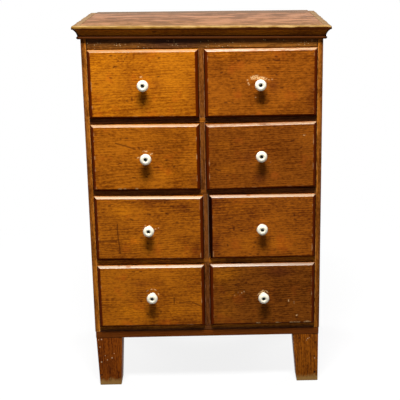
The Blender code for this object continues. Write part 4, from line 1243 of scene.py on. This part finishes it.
def bolt_rings(low, high):
    """Rings down the bolt's axis: a dome with a slot across it, the shank, and a nut.

    The dome's height falls with the square of the radius. Where a point lies within the slot's half width of
    the middle line, it drops by the slot's depth. The nut's radius is a square's, half / max(|cos|, |sin|),
    with its corners cut round.
    """
    angle = np.linspace(0, 2 * pi, BOLT_STEPS, endpoint=False)[None, :]
    nut = (high.x - low.x) / 2
    head = RECESS_RADIUS - HEAD_CLEAR
    share = np.linspace(TIP_SHARE, 1, DOME_STEPS)[:, None]
    slot = 1 / (1 + np.exp((np.abs(head * share * np.sin(angle)) - SLOT_HALF) / SLOT_SOFTNESS))
    dome = -low.y - DOME_RISE * share**2 - SLOT_DEPTH * slot * (share < 0.98)
    under = -low.y - HEAD_THICKNESS
    square = NUT_FLAT_SHARE * nut / np.maximum(np.abs(np.cos(angle)), np.abs(np.sin(angle)))
    square = np.clip(square, 0, nut)
    back = -high.y
    nut_face = back + NUT_HEIGHT
    stations = ((head * share, dome), (head, under), (SHANK_RADIUS, under), (SHANK_RADIUS, nut_face),
                (square, nut_face), (square, back), (TIP_SHARE * square, back))
    flat = np.ones_like(angle)
    radius = np.concatenate([reach * flat for reach, height in stations])
    along = np.concatenate([height * flat for reach, height in stations])
    x = (low.x + high.x) / 2 + radius * np.cos(angle)
    z = (low.z + high.z) / 2 + radius * np.sin(angle)
    return np.stack([x, -along, z], axis=-1)


def dark_steel():
    """Tarnished steel with brown rust in patches."""
    made, shader, place = bare_material("dark_steel")
    rust = ramp(noise(place, 700.0, 4.0), 0.45, 0.65)
    feed(shader["Base Color"], blend(rust, STEEL, RUST))
    feed(shader["Metallic"], 1.0 - rust)
    feed(shader["Roughness"], rust * (RUST_ROUGHNESS - STEEL_ROUGHNESS) + STEEL_ROUGHNESS)
    return made


steel = dark_steel()
for number in range(1, 9):
    bolt = f"drawer_{number}_bolt"
    mesh = tube_mesh(bolt, bolt_rings(*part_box(bolt))[::-1])
    placed(f"drawer_{number}_slotted_bolt", mesh, steel, f"drawer_{number}", "bolt_steel", bolt)

# Floor and light
# A pale studio floor that stays white to the camera and keeps a soft shadow by the feet, one wide softbox
# overhead and a little to the front, two weaker ones behind, and an even white room.
FLOOR_SIZE = 30.0
FLOOR_PAINT = (0.8, 0.8, 0.8)
FLOOR_BOUNCE = (0.22, 0.22, 0.22)
SHADOW_SHARE = 0.15
SHADOW_REACH = (0.5, 1.3)
ROOM_LEVEL = 0.11
WHITE = (1, 1, 1)
floor_mesh = bpy.data.meshes.new("studio_floor")
floor_edge = np.array([-0.5, 0.5]) * FLOOR_SIZE
floor_points = np.stack([*np.meshgrid(floor_edge, floor_edge), np.zeros((2, 2))], axis=-1)
floor_mesh.from_pydata(floor_points.reshape(-1, 3), [], [(0, 1, 3, 2)])
floor = bpy.data.objects.new("studio_floor", floor_mesh)
bpy.context.scene.collection.objects.link(floor)


def seen_directly(tree):
    """1 for a ray from the camera, or one that a glossy or clear surface sends on, and 0 for others."""
    path = node(tree, "LightPath")
    return path["Is Camera Ray"].most(path["Is Glossy Ray"].most(path["Is Transmission Ray"]))


floor_paint = bpy.data.materials.new("studio_white")
floor_paint.use_nodes = True
tree = floor_paint.node_tree
tree.nodes.clear()
far = ramp(node(tree, "TexCoord")["Object"].length(), *SHADOW_REACH, 1 - SHADOW_SHARE, 1.0)
bounce = node(tree, "LightPath")["Is Diffuse Ray"]
lit = node(tree, "BsdfDiffuse", Color=blend(bounce, FLOOR_PAINT, FLOOR_BOUNCE))["BSDF"]
white = node(tree, "Emission", Color=WHITE, Strength=1.0)["Emission"]
mixed = node(tree, "MixShader", None, far * seen_directly(tree), lit, white)["Shader"]
node(tree, "OutputMaterial", Surface=mixed)
floor_mesh.materials.append(floor_paint)

world = bpy.data.worlds.new("white_room")
bpy.context.scene.world = world
world.use_nodes = True
room = world.node_tree.nodes["Background"].inputs
feed(room["Color"], WHITE)
feed(room["Strength"], seen_directly(world.node_tree).most(ROOM_LEVEL))


def softbox(name, size, place, aim, power):
    """A rectangular lamp that faces a point."""
    lamp = bpy.data.lights.new(name, "AREA")
    lamp.shape = "RECTANGLE"
    lamp.size, lamp.size_y = size
    lamp.energy = power
    made = bpy.data.objects.new(name, lamp)
    made.location = place
    made.rotation_euler = (Vector(aim) - Vector(place)).to_track_quat("-Z", "Y").to_euler()
    bpy.context.scene.collection.objects.link(made)


softbox("key_softbox", (0.9, 0.5), (-0.05, -1.17, 2.47), (0, -0.16, 0.5), 93.0)
softbox("left_softbox", (1.5, 1.5), (-2.2, 1.5, 1.5), (0, 0, 0.4), 55.0)
softbox("right_softbox", (1.5, 1.5), (2.2, 1.5, 1.5), (0, 0, 0.4), 55.0)

# Camera
# A long lens in front of the cabinet, above its top and tipped down, a touch off level as in the photograph.
# The frame is shifted sideways, as if it had been cut from a wider picture.
SENSOR = 36.0
LENS = 87.16
SIDE_SHIFT = -0.1056
CAMERA_PLACE = (0.01637, -2.24871, 1.03163)
CAMERA_PITCH = 0.27229
CAMERA_YAW = 0.03184
CAMERA_ROLL = 0.00763
camera_data = bpy.data.cameras.new("camera")
camera_data.sensor_width = SENSOR
camera_data.lens = LENS
camera_data.shift_x = SIDE_SHIFT
camera = bpy.data.objects.new("camera", camera_data)
aim = Matrix.Rotation(-CAMERA_YAW, 4, "Z") @ Matrix.Rotation(pi / 2 - CAMERA_PITCH, 4, "X")
camera.matrix_world = Matrix.Translation(CAMERA_PLACE) @ aim @ Matrix.Rotation(-CAMERA_ROLL, 4, "Z")
bpy.context.scene.collection.objects.link(camera)
bpy.context.scene.camera = camera
bpy.context.scene.view_settings.view_transform = "Standard"
